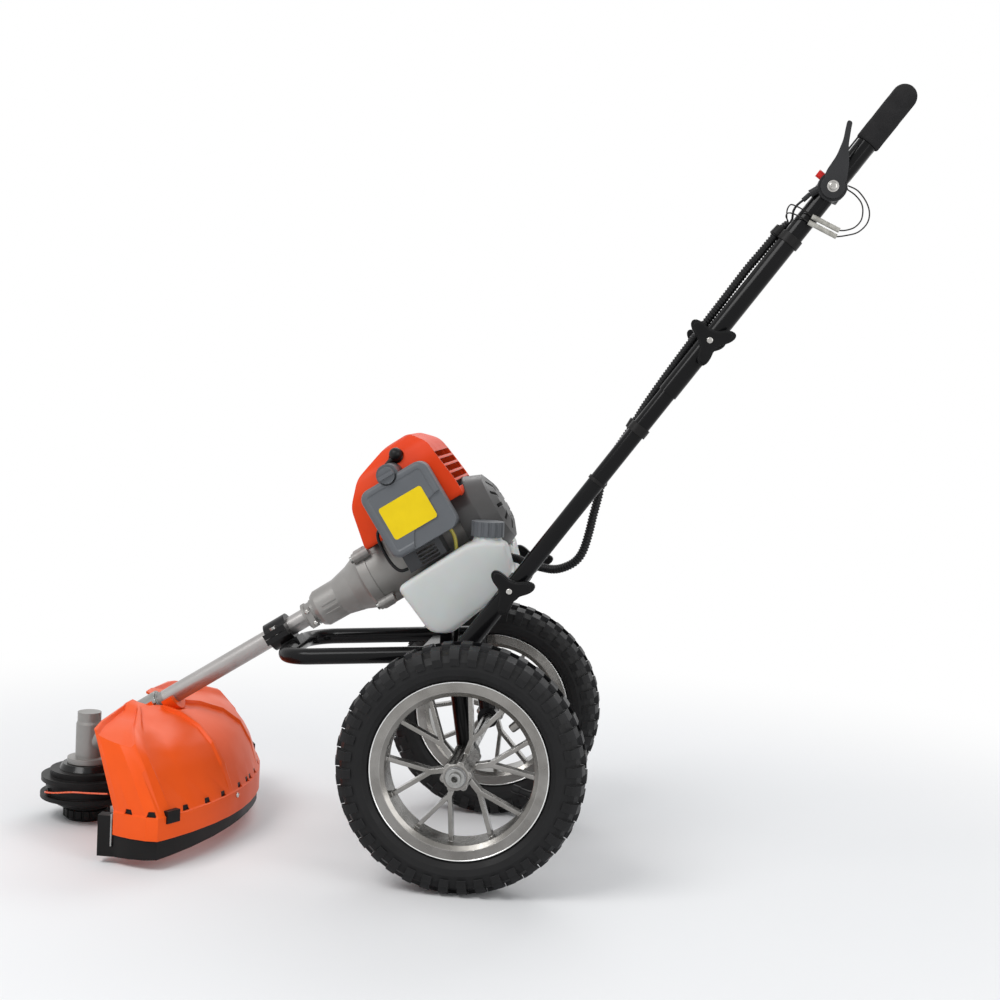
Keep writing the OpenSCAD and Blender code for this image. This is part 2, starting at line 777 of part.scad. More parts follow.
tank_low_a = shaft_pt(tank_s + tank_shares[2][0] * tank_l, tank_top - tank_h + tank_shares[2][1] * tank_h);
tank_low_b = shaft_pt(tank_s + tank_shares[3][0] * tank_l, tank_top - tank_h + tank_shares[3][1] * tank_h);
cradle_x = (tank_low_a[0] + tank_low_b[0]) / 2;
cradle_top = min(tank_low_a[2], tank_low_b[2]) - seat;
stand_at = (cradle_x - front_bar[0]) / cos(loop_angle);
stand_z = front_bar[2] + stand_at * sin(loop_angle);
module engine_stand() color("black") {
  hw = rail_y - rail_d / 2 - seat;
  back = loop_l - rail_d / 2 - seat;
  at_loop() block(back - stand_l, back, -hw, hw, -stand_t / 2, stand_t / 2);
  for (side = [-1, 1]) on_side(side)
    block(cradle_x - cradle_l / 2, cradle_x + cradle_l / 2, -cradle_hw, -cradle_hw / 2, stand_z - stand_t / 4, cradle_top);
}

// Wheels
module strip(p, q, w) {
  n = unit([p[1] - q[1], q[0] - p[0]]) * w / 2;
  polygon([p + n, p - n, q - n, q + n]);
}
rim_half = [[flange_r, rim_hw], [flange_r, rim_hw - rim_lip], [bead_r, bead_hw], [bead_r - ledge_drop, bead_hw - ledge_w],
  [well_r, bead_hw - well_w]];
rim_inner = [[rim_in + rim_bevel, rim_hw], [rim_in, rim_hw - rim_inset]];
function mirrored(pts) = [for (i = [len(pts) - 1:-1:0]) [pts[i][0], -pts[i][1]]];
rim_outline = concat(rim_half, mirrored(rim_half), [[rim_in + rim_bevel, -rim_hw], [rim_in, rim_inset - rim_hw],
  [rim_in, rim_hw - rim_inset], [rim_in + rim_bevel, rim_hw]]);
tyre_span = crown_r - flange_r;
casing = concat([[bead_r + seat, bead_hw - seat], [flange_r + 2 * seat, rim_hw - rim_lip - 2 * seat]],
  [for (p = casing_shares) [flange_r + p[0] * tyre_span, p[1] * tyre_hw]]);
lining = concat([for (p = lining_shares) [flange_r + p[0] * tyre_span, p[1] * tyre_hw]],
  [[flange_r, bead_hw - bead_t + rim_slope], [bead_r + seat, bead_hw - bead_t]]);
module rim(side) color("silver") at_wheel(side) difference() {
  union() {
    rotate_extrude($fn = 96) polygon(rim_outline);
    along_z(-hub_l / 2, hub_l / 2, hub_r);
    for (i = [0:hub_lobes - 1]) rotate([0, 0, wheel_turn + i * 360 / hub_lobes]) translate([hub_lobe_at, 0, 0])
      along_z(hub_lobe_gap - hub_l / 2, hub_l / 2 - hub_lobe_gap, hub_lobe_r);
    linear_extrude(spoke_depth, center = true) for (i = [0:spoke_count - 1]) rotate(wheel_turn + i * 360 / spoke_count) {
      strip([0, 0], [fork_r, 0], spoke_t);
      for (s = [-1, 1]) strip([fork_r - branch_t, 0], turned([rim_in + rim_sheet / 2, 0], s * fork_angle), branch_t);
    }
  }
  along_z(-hub_l, hub_l, hub_bore_r);
  for (s = [-1, 1]) along_z(s > 0 ? hub_l / 2 - bearing_l : -hub_l, s > 0 ? hub_l : bearing_l - hub_l / 2, bearing_r);
  rotate([0, 0, valve_angle]) along_x(rim_in - valve_l, flange_r, valve_r + seat);
}
module lugs() for (i = [0:lug_count - 1]) rotate([0, 0, (i - lug_arc_share / 2) * 360 / lug_count]) {
  arc = lug_arc_share * 360 / lug_count;
  rotate_extrude(angle = arc) polygon([[crown_r - lug_root, -centre_lug_shares[1] * tyre_hw],
    [crown_r + lug_h, -centre_lug_shares[0] * tyre_hw], [crown_r + lug_h, centre_lug_shares[0] * tyre_hw],
    [crown_r - lug_root, centre_lug_shares[1] * tyre_hw]]);
  rotate([0, 0, 180 / lug_count]) for (s = [-1, 1]) rotate_extrude(angle = arc)
    polygon([for (p = shoulder_lug_shares) [crown_r + p[0] * lug_h, s * p[1] * tyre_hw]]);
}
module tyre(side) color("dimgray") at_wheel(side) {
  rotate_extrude($fn = 96) polygon(concat(casing, mirrored(casing), mirrored(lining), lining));
  lugs();
  rotate([0, 0, valve_angle]) along_x(well_r - valve_l, well_r, valve_r);
}

// Head
function gear_pts(teeth, r) = flat([for (i = [0:teeth - 1]) let (a = 360 * i / teeth, p = 360 / teeth)
  [for (k = [[-tooth_root_share, -tooth_ded], [-tooth_tip_share, tooth_add], [tooth_tip_share, tooth_add],
    [tooth_root_share, -tooth_ded]]) (r + k[1]) * [cos(a + k[0] * p), sin(a + k[0] * p)]]]);
module bevel(teeth, cone) linear_extrude(face_w * cos(cone), scale = (cone_l - face_w) / cone_l)
  polygon(gear_pts(teeth, cone_l * sin(cone)));
module gear_case() color("lightgray") difference() {
  union() {
    at_head() {
      along_z(case_base, case_base + case_flange_t, case_flange_r);
      along_z(case_base, apex_z + case_mid, case_r);
      translate([0, 0, apex_z + case_mid]) cylinder(r1 = case_r, r2 = case_cap_r, h = case_bevel);
      along_z(apex_z, apex_z + case_top, case_cap_r);
    }
    at_shaft() {
      along_x(apex_s, apex_s + neck_l, neck_r);
      along_x(apex_s, apex_s + neck_end, neck_step_r);
      along_x(apex_s, apex_s + neck_end + spigot_l, tube_r - tube_wall - seat);
    }
  }
  at_head() {
    along_z(apex_z - gear_room_lo, apex_z + gear_room_hi, gear_room_r);
    along_z(case_base - over, apex_z + shaft_top + apart, out_r + run);
  }
  at_shaft() {
    along_x(apex_s, apex_s + pinion_room_l, pinion_room_r);
    along_x(apex_s, apex_s + neck_end + spigot_l + over, drive_r + run);
    along_x(apex_s + pinion_room_l + bush_l, apex_s + neck_end, core_r);
  }
}
module drive_tube() color("silver") at_shaft() difference() {
  along_x(apex_s + neck_end + seat, tube_seat, tube_r);
  along_x(apex_s, tube_seat + over, tube_r - tube_wall);
}
module drive_shaft() color("gray") at_shaft() {
  along_x(apex_s + (cone_l - face_w) * cos(pinion_cone), drum[1], drive_r);
  translate([apex_s + cone_l * cos(pinion_cone), 0, 0]) rotate([0, -90, 0])
    rotate([0, 0, 180 / pinion_teeth]) bevel(pinion_teeth, pinion_cone);
  along_x(drum[0], drum[1], drum_r_share * clutch_r);
}
module output_shaft() color("gray") at_head() {
  along_z(head_skirt + recess_h, apex_z + shaft_top, out_r);
  translate([0, 0, apex_z + cone_l * cos(gear_cone)]) mirror([0, 0, 1]) bevel(gear_teeth, gear_cone);
}
module spool_cup() color("black") at_head() difference() {
  translate([0, 0, spool_top + seat]) cylinder(r1 = cup_r, r2 = cup_top_r, h = cup_h - seat);
  along_z(spool_top - over, cup_top + over, out_r + seat);
}
module spool() color("black") at_head() difference() {
  union() {
    rotate_extrude($fn = 96) polygon(concat([for (p = spool_shares) [p[0] * spool_r, head_skirt + p[1] * spool_h]],
      [[out_r + seat, spool_top], [out_r + seat, head_skirt + recess_h], [bump_hub_r, head_skirt + recess_h],
      [bump_hub_r, head_skirt]]));
    translate([0, 0, line_z]) rotate([0, 0, eyelet_angle]) along_x(bump_hub_r, spool_shares[1][0] * spool_r + eyelet_out, eyelet_r);
  }
  translate([0, 0, line_z]) rotate([0, 0, eyelet_angle]) along_x(bump_hub_r * 2 - out_r, spool_r, line_d);
}
module trimmer_line() color("orangered") at_head() translate([0, 0, line_z])
  cord(smooth([for (p = line_shares) [p[0] * spool_r, p[1] * spool_r, p[2] * spool_h]], wire_steps), [0, 0, 1], line_d / 2, wire_sides);
module bump_knob() color("black") at_head() difference() {
  rotate_extrude() polygon([[0, 0], [bump_r - bump_bevel, 0], [bump_r, bump_bevel], [bump_r, bump_rim],
    [bump_hub_r - run, bump_rim], [bump_hub_r - run, bump_rim + bump_hub_h], [0, bump_rim + bump_hub_h]]);
  for (i = [0:bump_flutes - 1]) rotate([0, 0, i * 360 / bump_flutes]) translate([bump_r, 0, 0])
    along_z(bump_bevel / 2, bump_rim + over, bump_flute_r);
}

// Guard
function corner_cut(a) = abs(a) < corner_from ? 1 : 1 - corner_share * (abs(a) - corner_from) / (guard_spread - corner_from);
guard_lead = guard_r - guard_reach;
function rim_ray(a) = corner_cut(a) * (sqrt(guard_r * guard_r - pow(guard_lead * sin(a), 2)) - guard_lead * cos(a));
function guard_pt(a, r, z) = [guard_x + r * cos(a), r * sin(a), z];
function ridge_cols(a) = [[a - ridge_hw, 0], [a - ridge_edge, 1], [a + ridge_edge, 1], [a + ridge_hw, 0]];
guard_cols = concat([for (a = [0, ridge_edge]) [a - guard_spread, 1]], [[ridge_hw - guard_spread, 0]],
  [for (a = [-74, -69]) [a, 0]], ridge_cols(ridge_angles[0]),
  [for (a = [-52, -39]) [a, 0]], ridge_cols(ridge_angles[1]), [for (a = [-13, 0, 13]) [a, 0]],
  ridge_cols(ridge_angles[2]), [for (a = [39, 52]) [a, 0]], ridge_cols(ridge_angles[3]),
  [for (a = [69, 74]) [a, 0]], [[guard_spread - ridge_hw, 0]], [for (a = [ridge_edge, 0]) [guard_spread - a, 1]]);
rows = len(ray_shares);
function rise(c, i) = let (w = pow(c[0] / guard_spread, 2),
    ridge = i < crown_rows ? ridge_h : i < rows - 1 ? c[1] * ridge_h : 0)
  guard_top * (rise_shares[i] * (1 - w) + flank_shares[i] * w) + ridge;
step_z = rise_shares[len(ray_shares) - 1] * guard_top - strip_lip;
function shell_out(c) = let (r = rim_ray(c[0])) concat(
  [for (i = [0:rows - 1]) guard_pt(c[0] * turn_shares[i], ray_shares[i] * r, rise(c, i))],
  [guard_pt(c[0], r + strip_out, step_z), guard_pt(c[0], r + strip_out, strip_lo)]);
function shell_in(c) = let (r = rim_ray(c[0])) concat(
  [for (i = [0:rows - 1])
    guard_pt(c[0] * turn_shares[i], ray_shares[i] * r - (ray_shares[i] > steep_share ? guard_wall : 0),
      rise(c, i) - guard_wall)],
  [guard_pt(c[0], r, step_z - guard_wall), guard_pt(c[0], r, strip_lo)]);
module sheet(outer, inner) {
  m = len(outer);
  n = len(outer[0]);
  base = m * n;
  skin = flat([for (j = [0:m - 2]) for (i = [0:n - 2]) let (a = j * n + i)
    concat(quad(a, a + n, a + n + 1, a + 1), quad(base + a, base + a + 1, base + a + n + 1, base + a + n))]);
  ends = flat([for (j = [0:m - 2]) let (a = j * n, b = j * n + n - 1)
    concat(quad(a + n, a, base + a, base + a + n), quad(b, b + n, base + b + n, base + b))]);
  sides = flat([for (i = [0:n - 2]) let (a = i, b = (m - 1) * n + i)
    concat(quad(a, a + 1, base + a + 1, base + a), quad(b + 1, b, base + b, base + b + 1))]);
  polyhedron(concat(flat(outer), flat(inner)), concat(skin, ends, sides));
}
module guard() color("orangered") {
  difference() {
    sheet([for (c = guard_cols) shell_out(c)], [for (c = guard_cols) shell_in(c)]);
    at_shaft() {
      along_x(apex_s, 0, notch_r);
      block(apex_s, 0, -notch_r, notch_r, 0, guard_top);
      block(apex_s + bracket_s[0] - apart, apex_s + bracket_s[1] + apart, pad_web - pad_hw, pad_hw - pad_web,
        -pad_drop - seat, guard_top);
      for (s = [-1, 1]) translate([apex_s + (bracket_s[0] + bracket_s[1]) / 2, s * pad_bolt_y, 0])
        along_z(-pad_drop * 2, guard_top, bolt_head_r + apart);
    }
    for (side = [-1, 1]) on_side(side) {
      for (a = guard_slot_angles) at_rim(a) guard_slot();
      at_rim(skirt_tab_angle) block(-guard_wall * 2, strip_out * 3, -skirt_tab_w / 2 - seat, skirt_tab_w / 2 + seat,
        skirt_tab_z[0] - seat, skirt_tab_z[1] + seat);
    }
  }
  at_shaft() difference() {
    union() {
      block(apex_s + bracket_s[0], apex_s + bracket_s[1], -pad_hw, pad_hw, -pad_drop - pad_t - seat, -pad_drop - seat);
      for (s = [-1, 1]) on_side(s)
        block(apex_s + bracket_s[0], apex_s + bracket_s[1], -pad_hw, pad_web - pad_hw, -pad_drop - pad_t, pad_web_hi);
    }
    for (s = [-1, 1]) translate([apex_s + (bracket_s[0] + bracket_s[1]) / 2, s * pad_bolt_y, 0])
      along_z(-pad_drop * 2, 0, bolt_r + seat);
  }
}
function rim_turn(a) = let (d = guard_pt(a + 1, rim_ray(a + 1), 0) - guard_pt(a - 1, rim_ray(a - 1), 0))
  atan2(d[1], d[0]) - 90;
module at_rim(a) translate(guard_pt(a, rim_ray(a), 0)) rotate([0, 0, rim_turn(a)]) children();
module guard_slot() translate([-guard_wall * 2, 0, step_z + guard_slot_lift]) rotate([90, 0, 90])
  linear_extrude(guard_wall * 2 + strip_out * 3)
    polygon([[-guard_slot_w / 2, 0], [guard_slot_w / 2, 0], [guard_slot_w * slot_taper_share / 2, guard_slot_h],
      [-guard_slot_w * slot_taper_share / 2, guard_slot_h]]);
skirt_cols = concat([-guard_spread], [for (c = guard_cols) if (c[1] == 0) c[0]], [guard_spread]);
function skirt_edge(a) = skirt_lo + skirt_lift * (1 - pow(a / guard_spread, 2));
module guard_skirt() color("black") {
  sheet([for (a = skirt_cols) [for (z = [skirt_hi, skirt_edge(a)]) guard_pt(a, rim_ray(a) - 2 * seat, z)]],
    [for (a = skirt_cols) [for (z = [skirt_hi, skirt_edge(a)]) guard_pt(a, rim_ray(a) - skirt_t, z)]]);
  for (side = [-1, 1]) on_side(side) at_rim(skirt_tab_angle) {
    block(-skirt_t, -skirt_t / 2, -skirt_tab_w / 2, skirt_tab_w / 2, skirt_hi - skirt_t, skirt_tab_z[1]);
    block(-skirt_t, strip_out + skirt_tab_out, -skirt_tab_w / 2, skirt_tab_w / 2, skirt_tab_z[0], skirt_tab_z[1]);
  }
  at_holder() {
    block(holder[0], holder[1], holder[2], holder[3], skirt_lo + holder[4], skirt_lo + holder[5]);
    block(holder[0], foot_in, holder[2], holder[3], skirt_lo + holder[4], skirt_lo + foot_h);
  }
}
module at_holder() translate(guard_pt(holder_turn, rim_ray(holder_turn) - skirt_t / 2, 0)) mirror([0, 1, 0]) children();
module cutter_blade() color("silver") at_holder()
  block(holder[1] + seat, holder[1] + seat + blade_t, blade_y[0], blade_y[1], blade_z, blade_z + blade_h);
module guard_bracket() color("silver") at_shaft() difference() {
  union() {
    along_x(apex_s + bracket_s[0], apex_s + bracket_s[1], bracket_r);
    block(apex_s + bracket_s[0], apex_s + bracket_s[1], seat + pad_web - pad_hw, pad_hw - pad_web - seat, -pad_drop, -bracket_r - seat);
    block(apex_s + bracket_s[0], apex_s + bracket_s[1], -bolt_head_r * 2, bolt_head_r * 2, -pad_drop, -neck_r - seat);
  }
  along_x(apex_s + bracket_s[0] - over, apex_s + bracket_s[1] + over, neck_r + seat);
  for (s = [-1, 1]) translate([apex_s + (bracket_s[0] + bracket_s[1]) / 2, s * pad_bolt_y, 0])
    along_z(-pad_drop * 2, 0, bolt_r + seat);
}

// Engine
module tube_collar() color("lightgray") at_shaft() difference() {
  union() {
    along_x(collar[0], collar[1], collar_r);
    along_x(collar[0], collar[0] + collar_lip, collar_r + collar_lip_h);
    along_x(collar[1] - collar_lip, collar[1], collar_r + collar_lip_h);
    block(collar[0] + collar_lip, collar[1] - collar_lip, -collar_r - lug_out, lug_in - collar_r, lug_n[0], lug_n[1]);
  }
  along_x(collar[0] - over, collar[1] + over, tube_r + seat);
}
module clutch_housing() color("lightgray") at_shaft() difference() {
  union() {
    spun_x(concat([for (p = clutch_shares) [p[1] * clutch_r, p[0] * clutch_l]],
      [for (p = clutch_bore_shares) [p[1] * clutch_r, p[0] * clutch_l]],
      [[drive_r + run, clutch_bore_shares[4][0] * clutch_l], [drive_r + run, tube_seat + seat], [tube_r + seat, tube_seat + seat],
      [tube_r + seat, clutch_shares[0][0] * clutch_l]]));
    for (side = [-1, 1]) for (i = [0:clutch_ribs - 1]) rotate([side * (rib_turn + i * rib_step), 0, 0])
      translate([rib_s, 0, rib_r_share * clutch_r]) block(0, rib_l, -rib_w / 2, rib_w / 2, -rib_w, rib_h);
    for (a = [45:90:315]) rotate([a, 0, 0]) translate([0, 0, ear_at]) difference() {
      along_x(clutch_l - ear_t, clutch_l, ear_r);
      along_x(0, clutch_l, bolt_r + seat);
    }
  }
  for (a = [45:90:315]) rotate([a, 0, 0]) translate([0, 0, ear_at]) along_x(0, clutch_l + over, bolt_r + seat);
  along_x(drum[0] - apart, clutch_l + over, drum_r_share * clutch_r + apart);
}
module crankcase() color("gray") at_shaft() difference() {
  union() {
    along_x(clutch_l + seat, crank_end, crank_r);
    block(cyl_s - cyl_hl, cyl_s + cyl_hl, -cyl_hw, cyl_hw, 0, cyl_base);
    for (a = [45:90:315]) rotate([a, 0, 0]) translate([0, 0, ear_at]) along_x(clutch_l + seat, clutch_l + ear_t, ear_r);
  }
  along_x(clutch_l + crank_floor, crank_end - crank_floor, crank_r - crank_wall);
  translate([cyl_s, 0, 0]) along_z(0, cyl_base + over, cyl_bore_r);
}
module cylinder_block() {
  fin_pitch = (cyl_top - cyl_base - head_t) / fin_count;
  along_z(cyl_base + seat, cyl_top, cyl_r);
  along_z(cyl_top - head_t, cyl_top, head_r);
  for (i = [0:fin_count - 1]) let (z = cyl_base + seat + i * fin_pitch) along_z(z, z + fin_t, fin_r);
}
plug_way = unit(plug_dir);
plug_seat = [cyl_s + plug_base[0], plug_base[2], cyl_base + plug_base[1]];
plug_axis = [plug_way[0], plug_way[2], plug_way[1]];
boot_l = (cover_w / 2 - boot_in + plug_base[2]) / -plug_way[2] - plug_hex;
module finned_cylinder() color("gray") at_shaft() difference() {
  translate([cyl_s, 0, 0]) cylinder_block();
  translate([cyl_s, 0, 0]) along_z(0, cyl_top - head_t, cyl_bore_r);
  rod(plug_seat + plug_axis * seat, plug_seat + plug_axis * plug_l * 2, plug_room_r);
  rod(plug_seat - plug_axis * (plug_thread + seat), plug_seat + plug_axis, plug_r + seat);
}
module spark_plug() color("silver") at_shaft() {
  rod(plug_seat - plug_axis * plug_thread, plug_seat + plug_axis * plug_l, plug_r);
  rod(plug_seat + plug_axis * 2 * seat, plug_seat + plug_axis * plug_hex, plug_hex_r);
}
module plug_boot() color("black") at_shaft() difference() {
  top = plug_seat + plug_axis * (plug_hex + seat + boot_l);
  union() {
    rod(plug_seat + plug_axis * (plug_hex + seat), top, boot_r);
    translate(top) sphere(r = boot_r + boot_bulge);
    rod(top, top + boot_lead, boot_lead_r);
  }
  rod(plug_seat, plug_seat + plug_axis * (plug_l + seat), plug_r + seat);
}
cover_side = spread(cover_side_shares, cover_s, cover_l, cover_lo, cover_rise);
cover_end = spread(cover_end_shares, 0, cover_w, cover_lo, cover_rise);
module cover_form(inset) {
  kx = 1 - 2 * inset / cover_l;
  ky = 1 - 2 * inset / cover_w;
  kz = 1 - inset / cover_rise;
  intersection() {
    slab_y(rounded(shrunk(cover_side, [cover_s + cover_l / 2, cover_lo], kx, kz), cover_round), -cover_w, cover_w);
    slab_x(rounded(shrunk(cover_end, [0, cover_lo], ky, kz), cover_round), cover_s - over, cover_s + cover_l + over);
  }
}
module engine_cover() color("orangered") at_shaft() difference() {
  cover_form(0);
  difference() {
    cover_form(cover_wall);
    block(cover_s, cover_s + cover_l, -cover_w, cover_w, 0, cover_lo - over);
  }
  block(cover_s + cover_wall * 2, cover_s + cover_l - cover_wall * 2, cover_wall - cover_w / 2, cover_w / 2 - cover_wall, 0, cover_lo + over);
  along_x(0, crank_end + over, crank_r + apart);
  along_x(crank_end - apart, crank_end + cover_l, starter_r + apart);
  block(cyl_s - cyl_hl - apart, cyl_s + cyl_hl + apart, -cyl_hw - apart, cyl_hw + apart, 0, cyl_base + apart);
  block(cyl_s - carb_hw - apart * 2, cyl_s + carb_hw + apart * 2, -cover_w, 0, carb_lo - apart * 2, carb_hi + apart * 2);
  block(cyl_s + muffler_s[0] - muffler_room, cyl_s + muffler_s[1] + muffler_room, 0, cover_w, muffler_n[0] - muffler_room * 2,
    muffler_n[1] + muffler_room);
  rod(plug_seat, plug_seat + plug_axis * plug_l * 3, plug_room_r + apart);
  for (i = [0:cover_slots - 1]) translate([0, 0, cover_lo + cover_slot_lead + i * cover_slot_pitch])
    block(cover_s + cover_l - cover_slot_l, cover_s + cover_l + over, cover_slot_in - cover_w / 2, cover_w / 2 - cover_slot_in,
      0, cover_slot_h);
}
function filter_outline(spare, r) = rounded(rect(filter_s - filter_hw - spare, filter_s + filter_hw + spare,
  filter_lo - spare / 3, filter_hi + spare), r);
module filter_base() color("black") at_shaft() difference() {
  union() {
    slab_y(filter_outline(0, base_round), -filter_in - base_d, -filter_in);
    translate([tab_s, 0, tab_n]) along_y(-filter_in - base_d, -filter_in, tab_r);
    block(cyl_s + shroud[0], cyl_s + shroud[1], -shroud_out, -shroud_in, shroud_lo, filter_lo + lid_bevel);
  }
  slab_y(filter_outline(-lid_wall, base_round), -filter_in - base_d - over, -filter_in - lid_wall * 2);
  translate([cyl_s, 0, (carb_lo + carb_hi) / 2]) along_y(-filter_in - base_d, over, carb_bore_r);
  translate([tab_s, 0, tab_n]) along_y(-filter_in - base_d - over, over, filter_shank_r + run);
  block(cyl_s + shroud[0] + lid_wall, cyl_s + shroud[1] - lid_wall, lid_wall - shroud_out, over - shroud_in, shroud_lo - over,
    filter_lo - lid_wall);
  for (i = [0:shroud_slots - 1]) translate([cyl_s, 0, shroud_lo + shroud_slot_rise + i * shroud_slot_pitch])
    block(shroud_slot_s[0], shroud_slot_s[1], -shroud_out - over, over - shroud_out + lid_wall, 0, shroud_slot_h);
}
lid_in = filter_in + base_d + seat;
lid_out = lid_in + lid_d;
module filter_cover() color("gray") at_shaft() difference() {
  intersection() {
    union() {
      slab_y(filter_outline(lid_spare, lid_round), -lid_out, -lid_in);
      translate([tab_s, 0, tab_n]) along_y(lid_bevel - lid_out, -lid_in, tab_r);
    }
    slab_z([[filter_s - filter_hw - lid_spare, -lid_in], [filter_s - filter_hw - lid_spare, lid_bevel - lid_out],
      [filter_s - filter_hw - lid_spare + lid_bevel, -lid_out], [filter_s + filter_hw + lid_spare - lid_bevel, -lid_out],
      [filter_s + filter_hw + lid_spare, lid_bevel - lid_out], [filter_s + filter_hw + lid_spare, -lid_in]], -crank_r, cover_h);
    slab_x([[-lid_in, filter_lo - lid_spare], [lid_bevel - lid_out, filter_lo - lid_spare], [-lid_out, filter_lo - lid_spare + lid_bevel],
      [-lid_out, filter_hi + lid_spare - lid_bevel], [lid_bevel - lid_out, filter_hi + lid_spare], [lid_bevel - lid_out, cover_h],
      [-lid_in, cover_h]], filter_s - cover_l, filter_s + cover_l);
  }
  slab_y(filter_outline(-lid_wall, base_round), lid_wall * 2 - lid_out, over - lid_in);
  translate([filter_s + swoop_at[0], 0, swoop_at[1]]) along_y(-lid_out - over, swoop_d - lid_out, swoop_r);
  translate([tab_s, 0, tab_n]) along_y(-lid_out - over, over - lid_in, filter_shank_r + apart);
  translate([tab_s, 0, tab_n]) along_y(-lid_out - over, lid_bevel - lid_out, filter_knob_r + knob_room);
}
module filter_element() color("dimgray") at_shaft()
  slab_y(filter_outline(-element_gap, base_round), -filter_in - lid_wall * 2 - seat - element_d, -filter_in - lid_wall * 2 - seat);
module filter_knob() color("gray") at_shaft() translate([tab_s, 0, tab_n]) {
  face = -lid_out + lid_bevel - apart;
  along_y(face, -filter_in, filter_shank_r);
  along_y(face - filter_knob_t, face, filter_knob_r);
  block(-filter_knob_r, filter_knob_r, face - filter_knob_t - filter_bar_h, face - filter_knob_t, -filter_bar_t / 2, filter_bar_t / 2);
}
module carburettor() color("silver") at_shaft() difference() {
  union() {
    block(cyl_s - carb_hw, cyl_s + carb_hw, -filter_in + seat, -fin_r - seat, carb_lo, carb_hi);
    translate([cyl_s, 0, (carb_lo + carb_hi) / 2]) along_y(-fin_r - seat - over, -cyl_r - seat, carb_bore_r + over);
  }
  translate([cyl_s, 0, (carb_lo + carb_hi) / 2]) along_y(-filter_in - over, 0, carb_bore_r);
  translate([cyl_s, 0, 0]) intersection() {
    cylinder_envelope();
    block(-fin_r, fin_r, -fin_r, 0, 0, cyl_top);
  }
}
module cylinder_envelope() along_z(0, cyl_top, fin_r + seat);
module muffler() color("dimgray") at_shaft() {
  s0 = cyl_s + muffler_s[0];
  s1 = cyl_s + muffler_s[1];
  difference() {
    slab_y(rounded(rect(s0, s1, muffler_n[0], muffler_n[1]), muffler_round), muffler_in, muffler_out);
    slab_y(rounded(rect(s0 + muffler_wall, s1 - muffler_wall, muffler_n[0] + muffler_wall, muffler_n[1] - muffler_wall), muffler_round),
      muffler_in + muffler_wall, muffler_out - muffler_wall);
    translate([(s0 + s1) / 2, 0, muffler_n[0] + muffler_round * 2]) along_y(muffler_out - muffler_wall * 2, muffler_out + over, outlet_r);
  }
  difference() {
    union() {
      slab_y(rounded(rect(s0, s1, muffler_n[0], muffler_n[1]), muffler_round), muffler_out + shield_gap, muffler_out + shield_gap + shield_t);
      for (s = [s0 + shield_inset, s1 - shield_inset]) for (n = [muffler_n[0] + shield_inset, muffler_n[1] - shield_inset])
        translate([s, 0, n]) along_y(muffler_out + seat, muffler_out + shield_gap + over / 2, shield_post_r);
    }
    for (i = [0:shield_slots - 1]) let (n = muffler_n[0] + shield_inset * 1.6 + i * shield_slot_w * 1.45)
      block(s0 + shield_inset * 1.6, s1 - shield_inset * 1.6, muffler_out + seat, muffler_out + shield_gap + shield_t + over, n, n + shield_slot_w * 0.8);
  }
}
module starter_housing() color("dimgray") at_shaft() difference() {
  union() {
    spun_x(concat([[0, crank_end + seat]], [for (p = starter_shares) [p[1] * starter_r, crank_end + seat + p[0] * starter_l]]));
    rotate([starter_eye_angle, 0, 0]) translate([crank_end + starter_l / 4, 0, 0]) along_z(starter_r - starter_wall, starter_r + eye_l, eye_r);
  }
  translate([crank_end + starter_wall, 0, 0]) rotate([0, 90, 0]) cylinder(r = starter_r - starter_wall, h = starter_l * starter_shares[1][0]);
  translate([crank_end + starter_wall + starter_l * starter_shares[1][0], 0, 0]) rotate([0, 90, 0])
    cylinder(r1 = starter_r - starter_wall, r2 = starter_shares[2][1] * starter_r - starter_wall,
      h = starter_l * (starter_shares[2][0] - starter_shares[1][0]) - starter_wall);
  along_x(crank_end - over, crank_end + starter_wall + over, crank_r - starter_lip);
  for (i = [0:starter_vents - 1]) rotate([i * 360 / starter_vents, 0, 0])
    block(crank_end + starter_l / 2, crank_end + starter_l + over, -starter_vent_w / 2, starter_vent_w / 2,
      starter_vent_shares[0] * starter_r, starter_vent_shares[1] * starter_r);
  rotate([starter_eye_angle, 0, 0]) translate([crank_end + starter_l / 4, 0, 0]) along_z(starter_r / 2, starter_r + eye_l + over, eye_bore_r);
}
tank_side = spread(tank_shares, tank_s, tank_l, tank_top - tank_h, tank_h);
tank_mid = [tank_s + tank_l / 2, tank_top - tank_h / 2];
function tank_plan(inset) = let (y0 = tank_near + inset, y1 = tank_near + tank_w - inset, n0 = tank_top - tank_h + inset, n1 = tank_top - inset)
  rounded(rect(y0, y1, n0, n1), tank_bevel);
module tank_form(inset) {
  kx = 1 - shrink_share * inset / tank_l;
  kz = 1 - shrink_share * inset / tank_h;
  difference() {
    intersection() {
      slab_y(rounded(shrunk(tank_side, tank_mid, kx, kz), tank_round), tank_near - over, tank_near + tank_w + over);
      slab_x(tank_plan(inset), tank_s - over, tank_s + tank_l + over);
    }
    along_x(0, tank_s + tank_l * 2, crank_r + 2 * seat + inset);
    along_x(crank_end - apart - inset, tank_s + tank_l * 2, starter_r + apart + inset);
    block(groove_s - inset, tank_s + tank_l * 2, groove[0] - inset, groove[1] + inset, tank_top - tank_h - over, tank_top + over);
  }
}
cap_s = tank_s + cap_shares[0] * tank_l;
cap_n = tank_top - tank_h + cap_shares[1] * tank_h;
module at_cap() translate([cap_s, cap_y, cap_n]) rotate([0, shaft_angle, 0]) children();
module fuel_tank() color("white") at_shaft() {
  difference() {
    union() {
      tank_form(0);
      at_cap() along_z(-neck_in, neck_out, fill_r);
    }
    tank_form(tank_wall);
    at_cap() along_z(-neck_in * 2, neck_out + over, fill_bore_r);
  }
}
